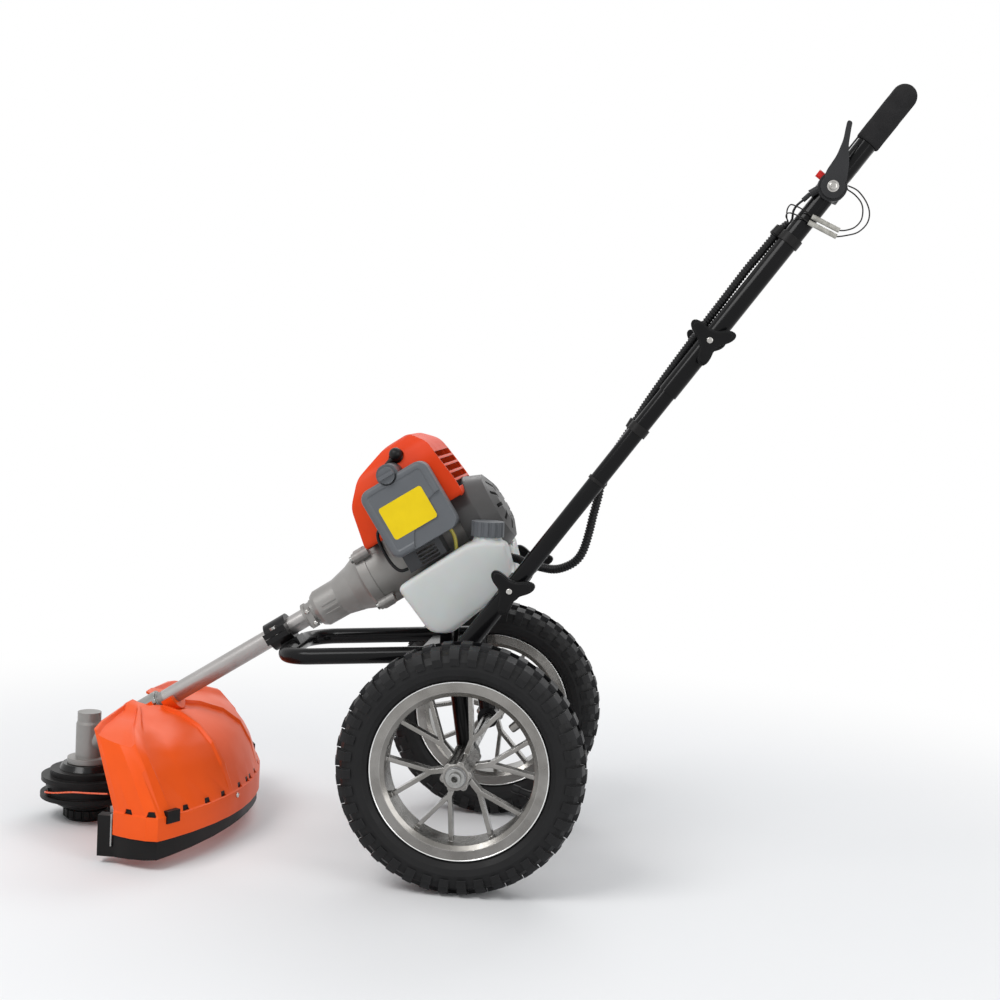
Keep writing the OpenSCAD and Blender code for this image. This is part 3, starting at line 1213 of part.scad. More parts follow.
module fuel_cap() color("gray") at_shaft() at_cap() difference() {
  along_z(neck_out - cap_h / 4, neck_out - cap_h / 4 + cap_h, cap_r);
  along_z(0, neck_out + apart, fill_r + apart);
  for (i = [0:cap_flutes - 1]) rotate([0, 0, i * 360 / cap_flutes]) translate([cap_r + cap_flute_r / 4, 0, 0])
    along_z(0, cap_h + neck_out + over, cap_flute_r);
}
module fuel_line() color("yellow") at_shaft()
  rod([cyl_s + fuel_line_s[1], fuel_line_y, tank_top + seat * 4 + fuel_line_r / 4], [cyl_s + fuel_line_s[0], fuel_line_y, filter_lo - seat * 4 - fuel_line_r / 4], fuel_line_r);
module throttle_cable() color("black") at_shaft()
  cord(smooth([for (p = engine_cable_route) [cyl_s + p[0], p[2], p[1]]], wire_steps), [0, 1, 0], rope_r, wire_sides);

// Handle
module lower_tube(side) color("black") on_side(side) at_handle() difference() {
  along_x(-bar_tail, bar_top, bar_r);
  along_x(-bar_tail - over, bar_top + over, bar_r - bar_wall);
  along_y(-bar_d, bar_d, shank_r + apart);
  for (t = [0, draw_out]) translate([upper_knob_t + t, 0, 0]) along_y(-bar_d, bar_d, shank_r + apart);
  block(upper_knob_t, upper_knob_t + draw_out, -bar_d, bar_d, -shank_r - apart, shank_r + apart);
}
module upper_tube(side) color("black") on_side(side) at_handle() difference() {
  along_x(upper_start, tube_end, upper_r);
  along_x(upper_start - over, tube_end + over, sleeve_bore);
  translate([upper_knob_t, 0, 0]) along_y(-upper_r * 2, upper_r * 2, shank_r + run);
}
module grip(side) color("black") on_side(side) at_handle() difference() {
  union() {
    along_x(grip_start, handle_l - grip_r, grip_r);
    translate([handle_l - grip_r, 0, 0]) sphere(r = grip_r);
  }
  along_x(grip_start - over, tube_end + seat, upper_r + seat);
}
function lobe(a, k) = k * (knob_core_r + (knob_r - knob_core_r) * pow((1 + cos(3 * (a - knob_turn))) / 2, knob_power));
function lobes(k) = [for (i = [0:knob_steps - 1]) let (a = i * 360 / knob_steps) [lobe(a, k) * cos(a), lobe(a, k) * sin(a)]];
module knob(face, shank) rotate([90, 0, 0]) {
  along_z(-shank, face, shank_r);
  along_z(face, face + knob_t, knob_boss_r);
  slab_z(lobes(1), face + apart, face + knob_t);
  slab_z(lobes(knob_cap_share), face + knob_t, face + knob_t + knob_cap_t);
}
module lower_knob(side) color("black") on_side(side) translate([knob_back, -bar_y, knob_z])
  knob(bar_r + apart, bar_y - post_y + shank_end);
module upper_knob(side) color("black") on_side(side) translate([knob_back, -bar_y, knob_z]) rotate([0, -handle_angle, 0])
  translate([upper_knob_t, 0, 0]) rotate([0, handle_angle, 0]) {
    knob(upper_r + apart, upper_r + knob_nut_t);
    along_y(upper_r + apart, upper_r + apart + knob_nut_t, knob_nut_r);
  }
route_slip = throttle_t - route_top;
function bar_t(t) = t < upper_knob_t ? t : t > route_turn ? t + route_slip :
  upper_knob_t + (t - upper_knob_t) * (route_turn + route_slip - upper_knob_t) / (route_turn - upper_knob_t);
function bar_pt(p) = [bar_t(p[0]), p[2], p[1]];
function bar_route(r) = [for (p = r) bar_pt(p)];
module throttle_housing() color("black") at_handle() {
  difference() {
    union() {
      along_x(throttle_t - band_l / 2, throttle_t + band_l / 2, band_r);
      translate([throttle_t, 0, 0]) along_y(-disc_out, -disc_in, disc_r);
      rod(bar_pt(entry[0]), bar_pt(entry[1]), entry_r);
    }
    along_x(throttle_t - band_l * 2, throttle_t + band_l * 2, upper_r + seat);
    translate([throttle_t + button_t, -button_dy, 0]) along_z(button_lo - button_room, disc_r * 2, button_r + apart / 2);
    translate([throttle_t, 0, 0]) along_y(-disc_out - over, -upper_r - over, pivot_r + run);
  }
  rod(bar_pt(entry[1]), bar_pt(ferrule_end), ferrule_r);
  cord(smooth(bar_route(cable_route), wire_steps), [0, 0, 1], cable_r, wire_sides);
}
module throttle_lever() color("dimgray") at_handle() translate([throttle_t, 0, 0]) {
  face = -disc_out - apart;
  along_y(face - lever_t, face, lever_hub_r);
  along_y(face, -upper_r - over - apart, pivot_r);
  slab_y(rounded(spread(lever_shares, 0, lever_l, 0, lever_l), lever_t), face - lever_t, face);
}
module kill_button() color("red") at_handle() translate([throttle_t + button_t, -button_dy, 0]) along_z(button_lo, button_hi, button_r);
fine_route = smooth(bar_route(conduit_route), route_steps);
function lengths(r, i, sum) = i >= len(r) ? [] : let (s = i == 0 ? 0 : sum + norm(r[i] - r[i - 1])) concat([s], lengths(r, i + 1, s));
route_at = lengths(fine_route, 0, 0);
conduit_l = route_at[len(route_at) - 1];
axis_tables = [for (k = [0:2]) [for (i = [0:len(fine_route) - 1]) [route_at[i], fine_route[i][k]]]];
function conduit_pt(l) = [for (k = [0:2]) lookup(l, axis_tables[k])];
function conduit_dir(l) = unit(conduit_pt(min(l + conduit_pitch, conduit_l)) - conduit_pt(max(l - conduit_pitch, 0)));
conduit_ribs = floor(conduit_l / conduit_pitch);
conduit_ring_gap = conduit_l / (2 * conduit_ribs);
conduit_pts = [for (i = [0:2 * conduit_ribs]) conduit_pt(i * conduit_ring_gap)];
near_rings = ceil(conduit_r * PI / conduit_ring_gap);
conduit_self_gap = min([for (i = [0:4:len(conduit_pts) - 1]) for (j = [i + 2 * near_rings:4:len(conduit_pts) - 1])
  norm(conduit_pts[i] - conduit_pts[j])]) - 2 * conduit_r;
module conduit() color("black") at_handle() {
  k = conduit_sides;
  n = len(conduit_pts);
  outer = flat([for (i = [0:n - 1]) ring(conduit_pts[i], conduit_dir(i * conduit_ring_gap), [0, 1, 0],
    i % 2 == 0 ? conduit_root_r : conduit_r, k)]);
  inner_at = [for (i = [0:bore_every:n - 1]) i];
  m = len(inner_at) + (inner_at[len(inner_at) - 1] == n - 1 ? 0 : 1);
  inner = flat([for (i = [0:m - 1]) let (a = i < len(inner_at) ? inner_at[i] : n - 1)
    ring(conduit_pts[a], conduit_dir(a * conduit_ring_gap), [0, 1, 0], conduit_bore_r, k)]);
  base = n * k;
  last = (n - 1) * k;
  inner_last = base + (m - 1) * k;
  mouth = flat([for (j = [0:k - 1]) let (b = (j + 1) % k) quad(j, b, base + b, base + j)]);
  foot = flat([for (j = [0:k - 1]) let (b = (j + 1) % k) quad(last + b, last + j, inner_last + j, inner_last + b)]);
  polyhedron(concat(outer, inner), concat(wall_faces(n, k, 0, true), wall_faces(m, k, base, false), mouth, foot));
}
echo(conduit_length = conduit_l, conduit_ribs = conduit_ribs, conduit_self_gap = conduit_self_gap);
module kill_wires() color("dimgray") at_handle() for (r = [wire_a_route, wire_b_route, stub_a_route, stub_b_route])
  cord(smooth(bar_route(r), wire_steps), [0, 0.6, 0.8], wire_r, wire_sides);
module wire_connectors() color("lightgray") at_handle() for (c = [connector_a, connector_b]) difference() {
  rod(bar_pt(c[0]), bar_pt(c[1]), connector_r);
  rod(bar_pt(c[0]) - (bar_pt(c[1]) - bar_pt(c[0])), bar_pt(c[1]) * 2 - bar_pt(c[0]), wire_r + seat);
}
function nearest(t) = let (best = min([for (p = fine_route) abs(p[0] - t)])) [for (i = [0:len(fine_route) - 1])
  if (abs(fine_route[i][0] - t) == best) i][0];
module clip(t, r, l, w) {
  i = nearest(t);
  c = fine_route[i];
  way = heading(fine_route, i) * l;
  n = unit([-c[2], c[1]]) * clip_web / 2;
  difference() {
    union() {
      along_x(c[0] - l / 2, c[0] + l / 2, r + seat + w);
      rod(c - way / 2, c + way / 2, conduit_r + apart + w);
      slab_x([n, [c[1], c[2]] + n, [c[1], c[2]] - n, -n], c[0] - l / 2, c[0] + l / 2);
    }
    along_x(c[0] - l * 2, c[0] + l * 2, r + seat);
    rod(c - way * 2, c + way * 2, conduit_r + apart);
  }
}
module upper_clip() color("black") at_handle() clip(top_clip_t, upper_r, clip_l, clip_wall);
module lower_clips() color("black") at_handle() {
  clip(mid_clip_t, bar_r, clip_l, clip_wall);
  clip(tie_t, bar_r, tie_l, tie_wall);
}

machine() {
  frame_loop();
  post(-1);  // left_post
  post(1);  // right_post
  axle();
  wheel_bearings();
  shaft_clamp();
  fasteners();
  engine_stand();
  drive_tube();
  tube_collar();
  clutch_housing();
  crankcase();
  finned_cylinder();  // cylinder
  spark_plug();
  plug_boot();
  engine_cover();
  filter_base();
  filter_cover();
  filter_element();
  carburettor();
  muffler();
  starter_housing();
  fuel_tank();
  fuel_line();
  throttle_cable();
  gear_case();
  guard();
  guard_skirt();
  guard_bracket();
  cutter_blade();
  rim(-1);  // left_rim
  tyre(-1);  // left_tyre
  rim(1);  // right_rim
  tyre(1);  // right_tyre
  drive_shaft();
  output_shaft();
  spool_cup();
  spool();
  trimmer_line();
  bump_knob();
  lower_tube(-1);  // left_lower_tube
  lower_tube(1);  // right_lower_tube
  upper_tube(-1);  // left_upper_tube
  upper_tube(1);  // right_upper_tube
  grip(-1);  // left_grip
  grip(1);  // right_grip
  lower_knob(-1);  // left_lower_knob
  lower_knob(1);  // right_lower_knob
  upper_knob(-1);  // left_upper_knob
  upper_knob(1);  // right_upper_knob
  throttle_housing();
  throttle_lever();
  kill_button();
  fuel_cap();
  filter_knob();
  conduit();
  kill_wires();
  wire_connectors();
  upper_clip();
  lower_clips();
}
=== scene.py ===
# %% [markdown]
# # A wheeled string trimmer
# The machine is a small engine on a straight tube, carried by two lugged wheels. The solids come
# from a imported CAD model, so every piece already sits in its place, in metres. This lesson gives
# each solid a finish, and models what CAD leaves plain: the ribbed hose, the wires, the foam grips
# and the small screws.

# %% Load the model
import json
import math

import bmesh
import bpy
from mathutils import Matrix, Vector


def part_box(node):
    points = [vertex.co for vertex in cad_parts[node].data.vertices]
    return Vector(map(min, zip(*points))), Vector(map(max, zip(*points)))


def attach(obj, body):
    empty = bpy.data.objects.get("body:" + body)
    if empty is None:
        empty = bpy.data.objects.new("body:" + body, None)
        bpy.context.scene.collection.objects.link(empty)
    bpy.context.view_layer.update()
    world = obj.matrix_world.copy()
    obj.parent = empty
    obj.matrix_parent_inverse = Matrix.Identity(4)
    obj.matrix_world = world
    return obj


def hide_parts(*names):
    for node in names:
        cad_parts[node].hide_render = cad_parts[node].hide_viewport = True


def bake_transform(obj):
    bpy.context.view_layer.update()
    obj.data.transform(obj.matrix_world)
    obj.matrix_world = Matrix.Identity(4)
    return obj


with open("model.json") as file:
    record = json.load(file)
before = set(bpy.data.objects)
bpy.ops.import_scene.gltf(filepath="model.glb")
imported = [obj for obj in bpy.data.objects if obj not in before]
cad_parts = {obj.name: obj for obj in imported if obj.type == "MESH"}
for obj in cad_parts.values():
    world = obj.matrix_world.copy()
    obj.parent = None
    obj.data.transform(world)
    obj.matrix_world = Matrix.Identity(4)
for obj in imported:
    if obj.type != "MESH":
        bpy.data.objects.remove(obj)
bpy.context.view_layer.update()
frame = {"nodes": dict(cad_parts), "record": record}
nodes = frame["nodes"]
scene = bpy.context.scene
scene.view_settings.view_transform = "Standard"

# %% [markdown]
# ## The camera
# The picture was taken from the machine's left, a little above the wheels, with the camera turned
# a few degrees and slightly rolled. The values were fitted to the wheels, the bars and the floor.
# A camera looks along its own -Z, so its axes are the picture's right, its up, and the way back.

# %% Camera
def linked(name, data):
    """A new object in the scene."""
    made = bpy.data.objects.new(name, data)
    scene.collection.objects.link(made)
    return made


MIDDLE = -0.0532907  # the machine's middle, measured from the axle
EYE = (0.2276 - MIDDLE, -2.1818, 0.6505)
FILM_WIDTH, LENS = 36.0, 57.6
yaw, pitch, roll = -0.0979, 0.0742, 0.05
forward = Vector((math.sin(yaw) * math.cos(pitch), math.cos(yaw) * math.cos(pitch),
                  -math.sin(pitch)))
level = Vector((math.cos(yaw), -math.sin(yaw), 0.0))
upright = level.cross(forward)
right = math.cos(roll) * level + math.sin(roll) * upright
up = -math.sin(roll) * level + math.cos(roll) * upright
camera = linked("camera", bpy.data.cameras.new("camera"))
camera.data.sensor_width = FILM_WIDTH
camera.data.lens = LENS
turn = Matrix((right, up, -forward)).transposed()
camera.matrix_world = Matrix.Translation(EYE) @ turn.to_4x4()
scene.camera = camera
print("camera at", [round(c, 3) for c in camera.matrix_world.translation])

# %% [markdown]
# ## Places on the machine
# Three frames are used again and again: along a handle bar, along the drive tube, and round the
# spool head. Each is a matrix, so a piece is drawn where its numbers are simple and then moved.

# %% Frames of the bar, the tube and the head
BAR_FOOT, BAR_ANGLE = (0.048 - MIDDLE, -0.152, 0.385), math.radians(54.6)
TUBE_FOOT, TUBE_ANGLE = (-0.2272 - MIDDLE, 0.0, 0.3234), math.radians(33.37314)
BAR = Matrix.Translation(BAR_FOOT) @ Matrix.Rotation(-BAR_ANGLE, 4, "Y")
TUBE = Matrix.Translation(TUBE_FOOT) @ Matrix.Rotation(-TUBE_ANGLE, 4, "Y")
HEAD = Matrix.Translation((-0.558 - MIDDLE, 0.0, 0.0))
AXLE = Vector((-MIDDLE, 0.0, 0.16))
ENGINE_AT = 0.178


def on_bar(t, m, dy):
    """A point t up the left bar, m in front of it and dy inward of it."""
    return BAR @ Vector((t, dy, m))


def on_tube(s, n, y):
    """A point s along the drive tube, n above it and y to the machine's right."""
    return TUBE @ Vector((s, y, n))


def on_engine(s, n, y):
    """The same, with s measured from the engine's place on the tube."""
    return on_tube(ENGINE_AT + s, n, y)


print("knob at", [round(c, 4) for c in on_bar(0, 0, 0)])

# %% [markdown]
# ## Smooth routes
# A cord's route is a few points, and the cord itself is one smooth curve through them. A curve with
# hand-set handles would do too, but this sum also made the CAD solids, so the two lie in one place.
# Here the curve only gets more steps.

# %% A smooth curve through points
def smooth(points, steps):
    """A curve through all the points, with the same number of steps between each two."""
    last = len(points) - 1
    line = []
    for i in range(last):
        a, b, c, d = points[max(i - 1, 0)], points[i], points[i + 1], points[min(i + 2, last)]
        for k in range(steps):
            u = k / steps
            line.append((2 * b + (c - a) * u + (2 * a - 5 * b + 4 * c - d) * u * u
                         + (3 * b - a - 3 * c + d) * u ** 3) / 2)
    return line + [points[last]]


def length_of(line):
    """How long a line of points is."""
    return sum((b - a).length for a, b in zip(line, line[1:]))


def cord_curve(name, line, radii, corners=3):
    """A round cord: a curve of one open spline with a bevel. Its radii are taken in turn."""
    curve = bpy.data.curves.new(name, "CURVE")
    curve.dimensions = "3D"
    curve.bevel_depth = 1.0
    curve.bevel_resolution = corners
    curve.use_fill_caps = True
    spline = curve.splines.new("POLY")
    spline.points.add(len(line) - 1)
    for i, (point, place) in enumerate(zip(spline.points, line)):
        point.co = (*place, 1.0)
        point.radius = radii[i % len(radii)]
    spline.use_smooth = True
    return linked(name, curve)


# %% [markdown]
# ## The cords
# The nylon line leaves the spool through an eyelet and ends bare. Two thin wires leave the stop
# switch in a loop and end in clear connectors; two stubs go on from there into the ribbed hose.
# At the engine a cable bends from the carburettor round under the tank, and a short fuel pipe
# joins the tank to the carburettor.

# %% Cord routes
line_route = [(-0.62, -0.62, 0), (-0.68, -0.68, 0), (-0.65, -0.77, 0.02), (-0.52, -0.87, 0.05),
              (-0.29, -1.03, 0.12), (0.14, -1.33, 0.28), (0.65, -1.68, 0.42), (1.16, -2.01, 0.56)]
SPOOL_R, EYELET_Z, LINE_RISE = 0.065, 0.044, 0.05
line_points = [HEAD @ Vector((SPOOL_R * x, SPOOL_R * y, EYELET_Z + LINE_RISE * z))
               for x, y, z in line_route]
wire_routes = {
    "stop_wire_long": [(0.6535, -0.014, -0.017), (0.656, -0.027, -0.017), (0.652, -0.043, -0.017),
                       (0.644, -0.055, -0.017), (0.632, -0.061, -0.017), (0.617, -0.059, -0.017),
                       (0.605, -0.050, -0.017), (0.597, -0.042, -0.017)],
    "stop_wire_short": [(0.6495, -0.0165, -0.017), (0.650, -0.028, -0.017), (0.647, -0.040, -0.017),
                        (0.640, -0.048, -0.017), (0.630, -0.053, -0.017), (0.619, -0.052, -0.017),
                        (0.610, -0.046, -0.017), (0.605, -0.040, -0.017)],
    "stop_stub_long": [(0.590, -0.004, -0.017), (0.589, 0.008, -0.017), (0.587, 0.019, -0.010),
                       (0.585, 0.023, 0.0), (0.582, 0.022, 0.008), (0.579, 0.0158, 0.0138),
                       (0.573, 0.016, 0.0134)],
    "stop_stub_short": [(0.598, -0.003, -0.017), (0.598, 0.010, -0.017), (0.596, 0.024, -0.010),
                        (0.594, 0.027, -0.002), (0.589, 0.026, 0.007), (0.583, 0.021, 0.015),
                        (0.579, 0.0165, 0.0163), (0.574, 0.0149, 0.0163)],
}
engine_route = [(-0.0315, 0.052, -0.086), (-0.038, 0.051, -0.088), (-0.043, 0.042, -0.090),
                (-0.045, 0.024, -0.091), (-0.044, 0.004, -0.091), (-0.039, -0.009, -0.089),
                (-0.029, -0.012, -0.086)]
engine_points = [on_engine(*p) for p in engine_route]
fuel_route = [(0.039, -0.024, -0.084), (0.0412, -0.0195, -0.0842), (0.0442, -0.013, -0.0845),
              (0.0463, -0.0065, -0.0845), (0.0470, 0.0, -0.0842), (0.0467, 0.006, -0.084),
              (0.0458, 0.0105, -0.084)]
fuel_points = [on_engine(*p) for p in fuel_route]
print("cords:", 3 + len(wire_routes))

# %% Lay the cords
LINE_R, WIRE_R, CABLE_R, PIPE_R = 0.0012, 0.0009, 0.0022, 0.0025
cord_pieces = {}


def lay_cord(name, points, radius, body, node, steps):
    """Makes a cord that stands for a CAD node."""
    line = smooth(points, steps)
    piece = cord_curve(name, line, [radius])
    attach(piece, body)
    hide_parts(node)
    cord_pieces[name] = piece


lay_cord("cutting_line", line_points, LINE_R, "head", "trimmer_line", 6)
for name, route in wire_routes.items():
    lay_cord(name, [on_bar(*p) for p in route], WIRE_R, "left_upper_bar", "kill_wires",
             5)
lay_cord("engine_cable", engine_points, CABLE_R, "chassis", "throttle_cable", 5)
lay_cord("fuel_pipe", fuel_points, PIPE_R, "chassis", "fuel_line", 5)

# %% [markdown]
# ## The ribbed hose
# The black hose round the cable and wires is a corrugated tube held by clips. Rings on a plain tube
# would do, but a curve whose points carry their own radius gives the ribs in one skin: four points
# to a rib, two low and two high. The hose crosses two joints, where the bar folds and where it
# draws out, so it is made in two lengths that meet in the clip on the lower bar.

# %% Route and ribs of the hose
hose_route = [(0.577, 0.014, 0.015), (0.561, 0.017, 0.010), (0.530, 0.018, 0.008),
              (0.500, 0.019, 0.007), (0.450, 0.018, 0.008), (0.400, 0.017, 0.010),
              (0.340, 0.015, 0.014), (0.290, 0.012, 0.018), (0.258, 0.008, 0.022),
              (0.220, 0.005, 0.024), (0.186, -0.002, 0.025), (0.160, -0.014, 0.026),
              (0.137, -0.024, 0.028), (0.115, -0.034, 0.032), (0.093, -0.042, 0.036),
              (0.076, -0.043, 0.041), (0.060, -0.037, 0.047), (0.047, -0.027, 0.056),
              (0.036, -0.011, 0.072), (0.027, 0.005, 0.090), (0.021, 0.019, 0.106),
              (0.012, 0.033, 0.114), (-0.002, 0.046, 0.116)]
hose_line = smooth([on_bar(*p) for p in hose_route], 24)
RIB = 0.004
RIB_RADII = (0.0048, 0.0059, 0.0059, 0.0048)
CLIP_POINT = 8  # the route's point in the lower clip
OVERLAP = 2  # points that both lengths share, inside the clip


def walk(line, gap):
    """Points along a line at even steps."""
    points, left = [line[0]], gap
    for a, b in zip(line, line[1:]):
        span = (b - a).length
        while span > 1e-9 and left <= span:
            a = a + (b - a) * (left / span)
            points.append(a)
            span, left = (b - a).length, gap
        left -= span
    return points


def ribbed_tube(name, points):
    """The ribbed cord made a mesh."""
    bent = cord_curve(name, points, RIB_RADII, 4)
    ready = bent.evaluated_get(bpy.context.evaluated_depsgraph_get())
    mesh = bpy.data.meshes.new_from_object(ready)
    bpy.data.objects.remove(bent)
    return linked(name, mesh)


print("hose route:", len(hose_line), "points")

# %% Two lengths of hose
hose_points = walk(hose_line, RIB / len(RIB_RADII))
clip_at = on_bar(*hose_route[CLIP_POINT])
join = min(range(len(hose_points)), key=lambda i: (hose_points[i] - clip_at).length)
join -= join % len(RIB_RADII)
upper_path, lower_path = hose_points[: join + OVERLAP], hose_points[join:]
upper_hose = ribbed_tube("upper_hose", upper_path)
lower_hose = ribbed_tube("lower_hose", lower_path)
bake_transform(upper_hose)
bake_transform(lower_hose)
for hose, path in ((upper_hose, upper_path), (lower_hose, lower_path)):
    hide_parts("conduit")
    print(hose.name, "ribs", len(path) // len(RIB_RADII), "length", round(length_of(path), 4))

# %% [markdown]
# ## Helpers for small turned pieces
# Most of the small pieces are turned shapes: a screw, a valve, a grip. `spin` sweeps a few points
# round an axis. The doubles on the axis are merged and the normals are recalculated, because a spin
# can turn a shape inside out. Edges that meet at a sharp angle stay sharp.

# %% Turned shapes
def turned(profile, steps):
    """A bmesh of a profile of (along, radius) points spun round X."""
    bm = bmesh.new()
    verts = [bm.verts.new((x, 0.0, r)) for x, r in profile]
    edges = [bm.edges.new(pair) for pair in zip(verts, verts[1:])]
    bmesh.ops.spin(bm, geom=verts + edges, cent=(0, 0, 0), axis=(1, 0, 0), angle=2 * math.pi,
                   steps=steps, use_merge=True)
    bmesh.ops.remove_doubles(bm, verts=bm.verts, dist=1e-6)
    bmesh.ops.recalc_face_normals(bm, faces=bm.faces)
    return bm


def as_object(bm, name):
    """The bmesh as an object at the origin."""
    mesh = bpy.data.meshes.new(name)
    bm.to_mesh(mesh)
    bm.free()
    return linked(name, mesh)


def place_piece(bm, name, body, place, sharp=40.0, rising=None):
    """The bmesh as a piece at the origin, its place in its mesh, riding on a body.
    Edges sharper than a limit stay crisp; edges that climb may have a limit of their own."""
    bmesh.ops.transform(bm, matrix=place, verts=bm.verts)
    if place.determinant() < 0:
        bmesh.ops.reverse_faces(bm, faces=bm.faces)
    for face in bm.faces:
        face.smooth = True
    for edge in bm.edges:
        a, b = edge.verts
        climbs = abs(a.co.z - b.co.z) > 0.5 * edge.calc_length()
        limit = rising if rising and climbs else sharp
        edge.smooth = edge.calc_face_angle(0.0) < math.radians(limit)
    piece = as_object(bm, name)
    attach(piece, body)
    return piece


def smooth_all(bm, factor, times=1):
    """Pulls every vertex towards its neighbours."""
    for _ in range(times):
        bmesh.ops.smooth_vert(bm, verts=bm.verts, factor=factor,
                              use_axis_x=True, use_axis_y=True, use_axis_z=True)


def facing(place, way, axis="X", up="Z"):
    """A matrix that puts an axis of a shape along a way, at a place."""
    return Matrix.Translation(place) @ Vector(way).to_track_quat(axis, up).to_matrix().to_4x4()


finish_of = {}  # the finish of each new piece, put on when all are made
SIDES = ((-1, "left"), (1, "right"))

# %% [markdown]
# ## Foam grips
# The grips are soft black foam sleeves with a rounded end. A loose cushion would be blown up by a
# cloth simulation, but a tight sleeve hardly changes its form. A turned profile is enough, and a
# little uneven swelling and one smoothing keep it from looking machined.

# %% Grips
GRIP_START, GRIP_END, GRIP_R, GRIP_BORE = 0.710, 0.797, 0.016, 0.0128
GRIP_LIP = [(0.0, GRIP_BORE), (-0.0004, 0.0148), (0.0006, 0.0157)]
RIDGES, RIDGE_FROM, RIDGE_STEP, RIDGE_DEEP = 8, 0.003, 0.0085, 0.00012
SWELL, SWELL_WAVES = 0.006, 190


def make_grip(side, word):
    """A foam sleeve on the bar of one side."""
    profile = [(GRIP_START + x, r) for x, r in GRIP_LIP]
    profile += [(GRIP_START + RIDGE_FROM + i * RIDGE_STEP, GRIP_R - RIDGE_DEEP * (i % 2))
                for i in range(RIDGES)]
    for angle in range(0, 91, 10):
        a = math.radians(angle)
        profile.append((GRIP_END - GRIP_R + GRIP_R * math.sin(a), GRIP_R * math.cos(a)))
    bm = turned(profile, 48)
    for vert in bm.verts:
        wave = math.sin(vert.co.x * SWELL_WAVES + 3 * math.atan2(vert.co.y, vert.co.z) + side)
        vert.co.yz *= 1.0 - SWELL * (1 + wave)
    smooth_all(bm, 0.25)
    place = BAR if side < 0 else Matrix.Scale(-1, 4, (0, 1, 0)) @ BAR
    piece = place_piece(bm, f"{word}_foam_grip", f"{word}_upper_bar", place, sharp=60)
    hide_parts(f"{word}_grip")
    finish_of[piece.name] = "grip_foam"
    print(piece.name, len(piece.data.polygons), "faces")


for side, word in SIDES:
    make_grip(side, word)

# %% [markdown]
# ## Screws
# Bright screws hold the knobs, the throttle, the tube's collar and the guard's strip. One pan head
# serves all: a disc with a rolled edge, and a round socket pressed into it by two insets. A bump in
# the material would look flat from the side, so the socket is real.

# %% Screw heads
EDGE_ROLL, SOCKET_DEEP, WASHER_THICK = 0.55, 0.45, 0.3  # shares of a screw's height
TOP_RING, SOCKET_SLOPE = 0.28, 0.06  # shares of its radius


def top_of(bm):
    """The bmesh's highest face."""
    return max(bm.faces, key=lambda f: f.calc_center_median().z)


def raised(bm, faces, depth):
    """Extrudes faces by a depth along Z and gives back the new vertices."""
    grown = bmesh.ops.extrude_face_region(bm, geom=faces)
    top = [g for g in grown["geom"] if isinstance(g, bmesh.types.BMVert)]
    bmesh.ops.translate(bm, vec=(0, 0, depth), verts=top)
    return top


def screw_head(name, body, place, way, radius, height, washer=0.0):
    """A pan head with a socket, and a washer where one is asked for."""
    bm = bmesh.new()
    bmesh.ops.create_circle(bm, cap_ends=True, segments=24, radius=radius)
    raised(bm, bm.faces[:], height)
    bmesh.ops.bevel(bm, geom=top_of(bm).edges[:], offset=height * EDGE_ROLL, segments=3,
                    profile=0.5, affect="EDGES", material=-1)
    bmesh.ops.inset_region(bm, faces=[top_of(bm)], thickness=radius * TOP_RING, depth=0.0)
    top = max(bm.faces, key=lambda f: (f.calc_center_median().z,
                                       f.calc_area() if len(f.verts) > 8 else 0))
    bmesh.ops.inset_region(bm, faces=[top], thickness=radius * SOCKET_SLOPE,
                           depth=-height * SOCKET_DEEP)
    if washer:
        bmesh.ops.create_cone(bm, cap_ends=True, segments=28, radius1=washer,
                              radius2=washer * 0.97, depth=height * WASHER_THICK,
                              matrix=Matrix.Translation((0, 0, height * WASHER_THICK / 2)))
    bmesh.ops.recalc_face_normals(bm, faces=bm.faces)
    piece = place_piece(bm, name, body, facing(place, way, "Z", "X"), sharp=50)
    finish_of[name] = "screw_zinc"


# %% Screws in the knobs, the throttle and the collar
UPPER_KNOB, THROTTLE_AT = 0.403, 0.641  # how far up the bar
SUNK, KNOB_SUNK = 0.0004, 0.0006
KNOB_SCREW, COLLAR_SCREW = (0.0041, 0.0024), (0.0034, 0.0028)  # radius and height
PIVOT_SCREW = (0.0052, 0.003, 0.0074)  # and a washer
LEFT = (0, -1, 0)
for side, word in SIDES:
    for knob, t, body in (("lower", 0.0, "fold"), ("upper", UPPER_KNOB, "slide")):
        low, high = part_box(f"{word}_{knob}_knob")
        face = low[1] if side < 0 else high[1]
        centre = on_bar(t, 0, 0)
        seat = (centre.x, face - side * KNOB_SUNK, centre.z)
        screw_head(f"{word}_{knob}_knob_screw", f"{word}_{body}_knob", seat, (0, side, 0),
                   *KNOB_SCREW)
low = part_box("throttle_lever")[0]
pivot = on_bar(THROTTLE_AT, 0, 0)
screw_head("throttle_pivot_screw", "throttle", (pivot.x, low[1] + SUNK, pivot.z), LEFT,
           *PIVOT_SCREW)
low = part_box("tube_collar")[0]
for n, (along, above) in enumerate(((-0.0177, 0.006), (-0.0147, -0.0137))):
    screw_head(f"collar_screw_{n + 1}", "chassis", on_tube(along, above, low[1] + SUNK), LEFT,
               *COLLAR_SCREW)
print("screws:", sum(1 for n in finish_of if "screw" in n))

# %% [markdown]
# ## Valves
# Each wheel has an inner tube, so a rubber valve with a cap stands on the inner face of the rim,
# between two spokes, and points at the hub. It is a turned shape with a waist and a cap. The near
# rim also has a short bright boss. Small as they are, they break the even pattern of the spokes.

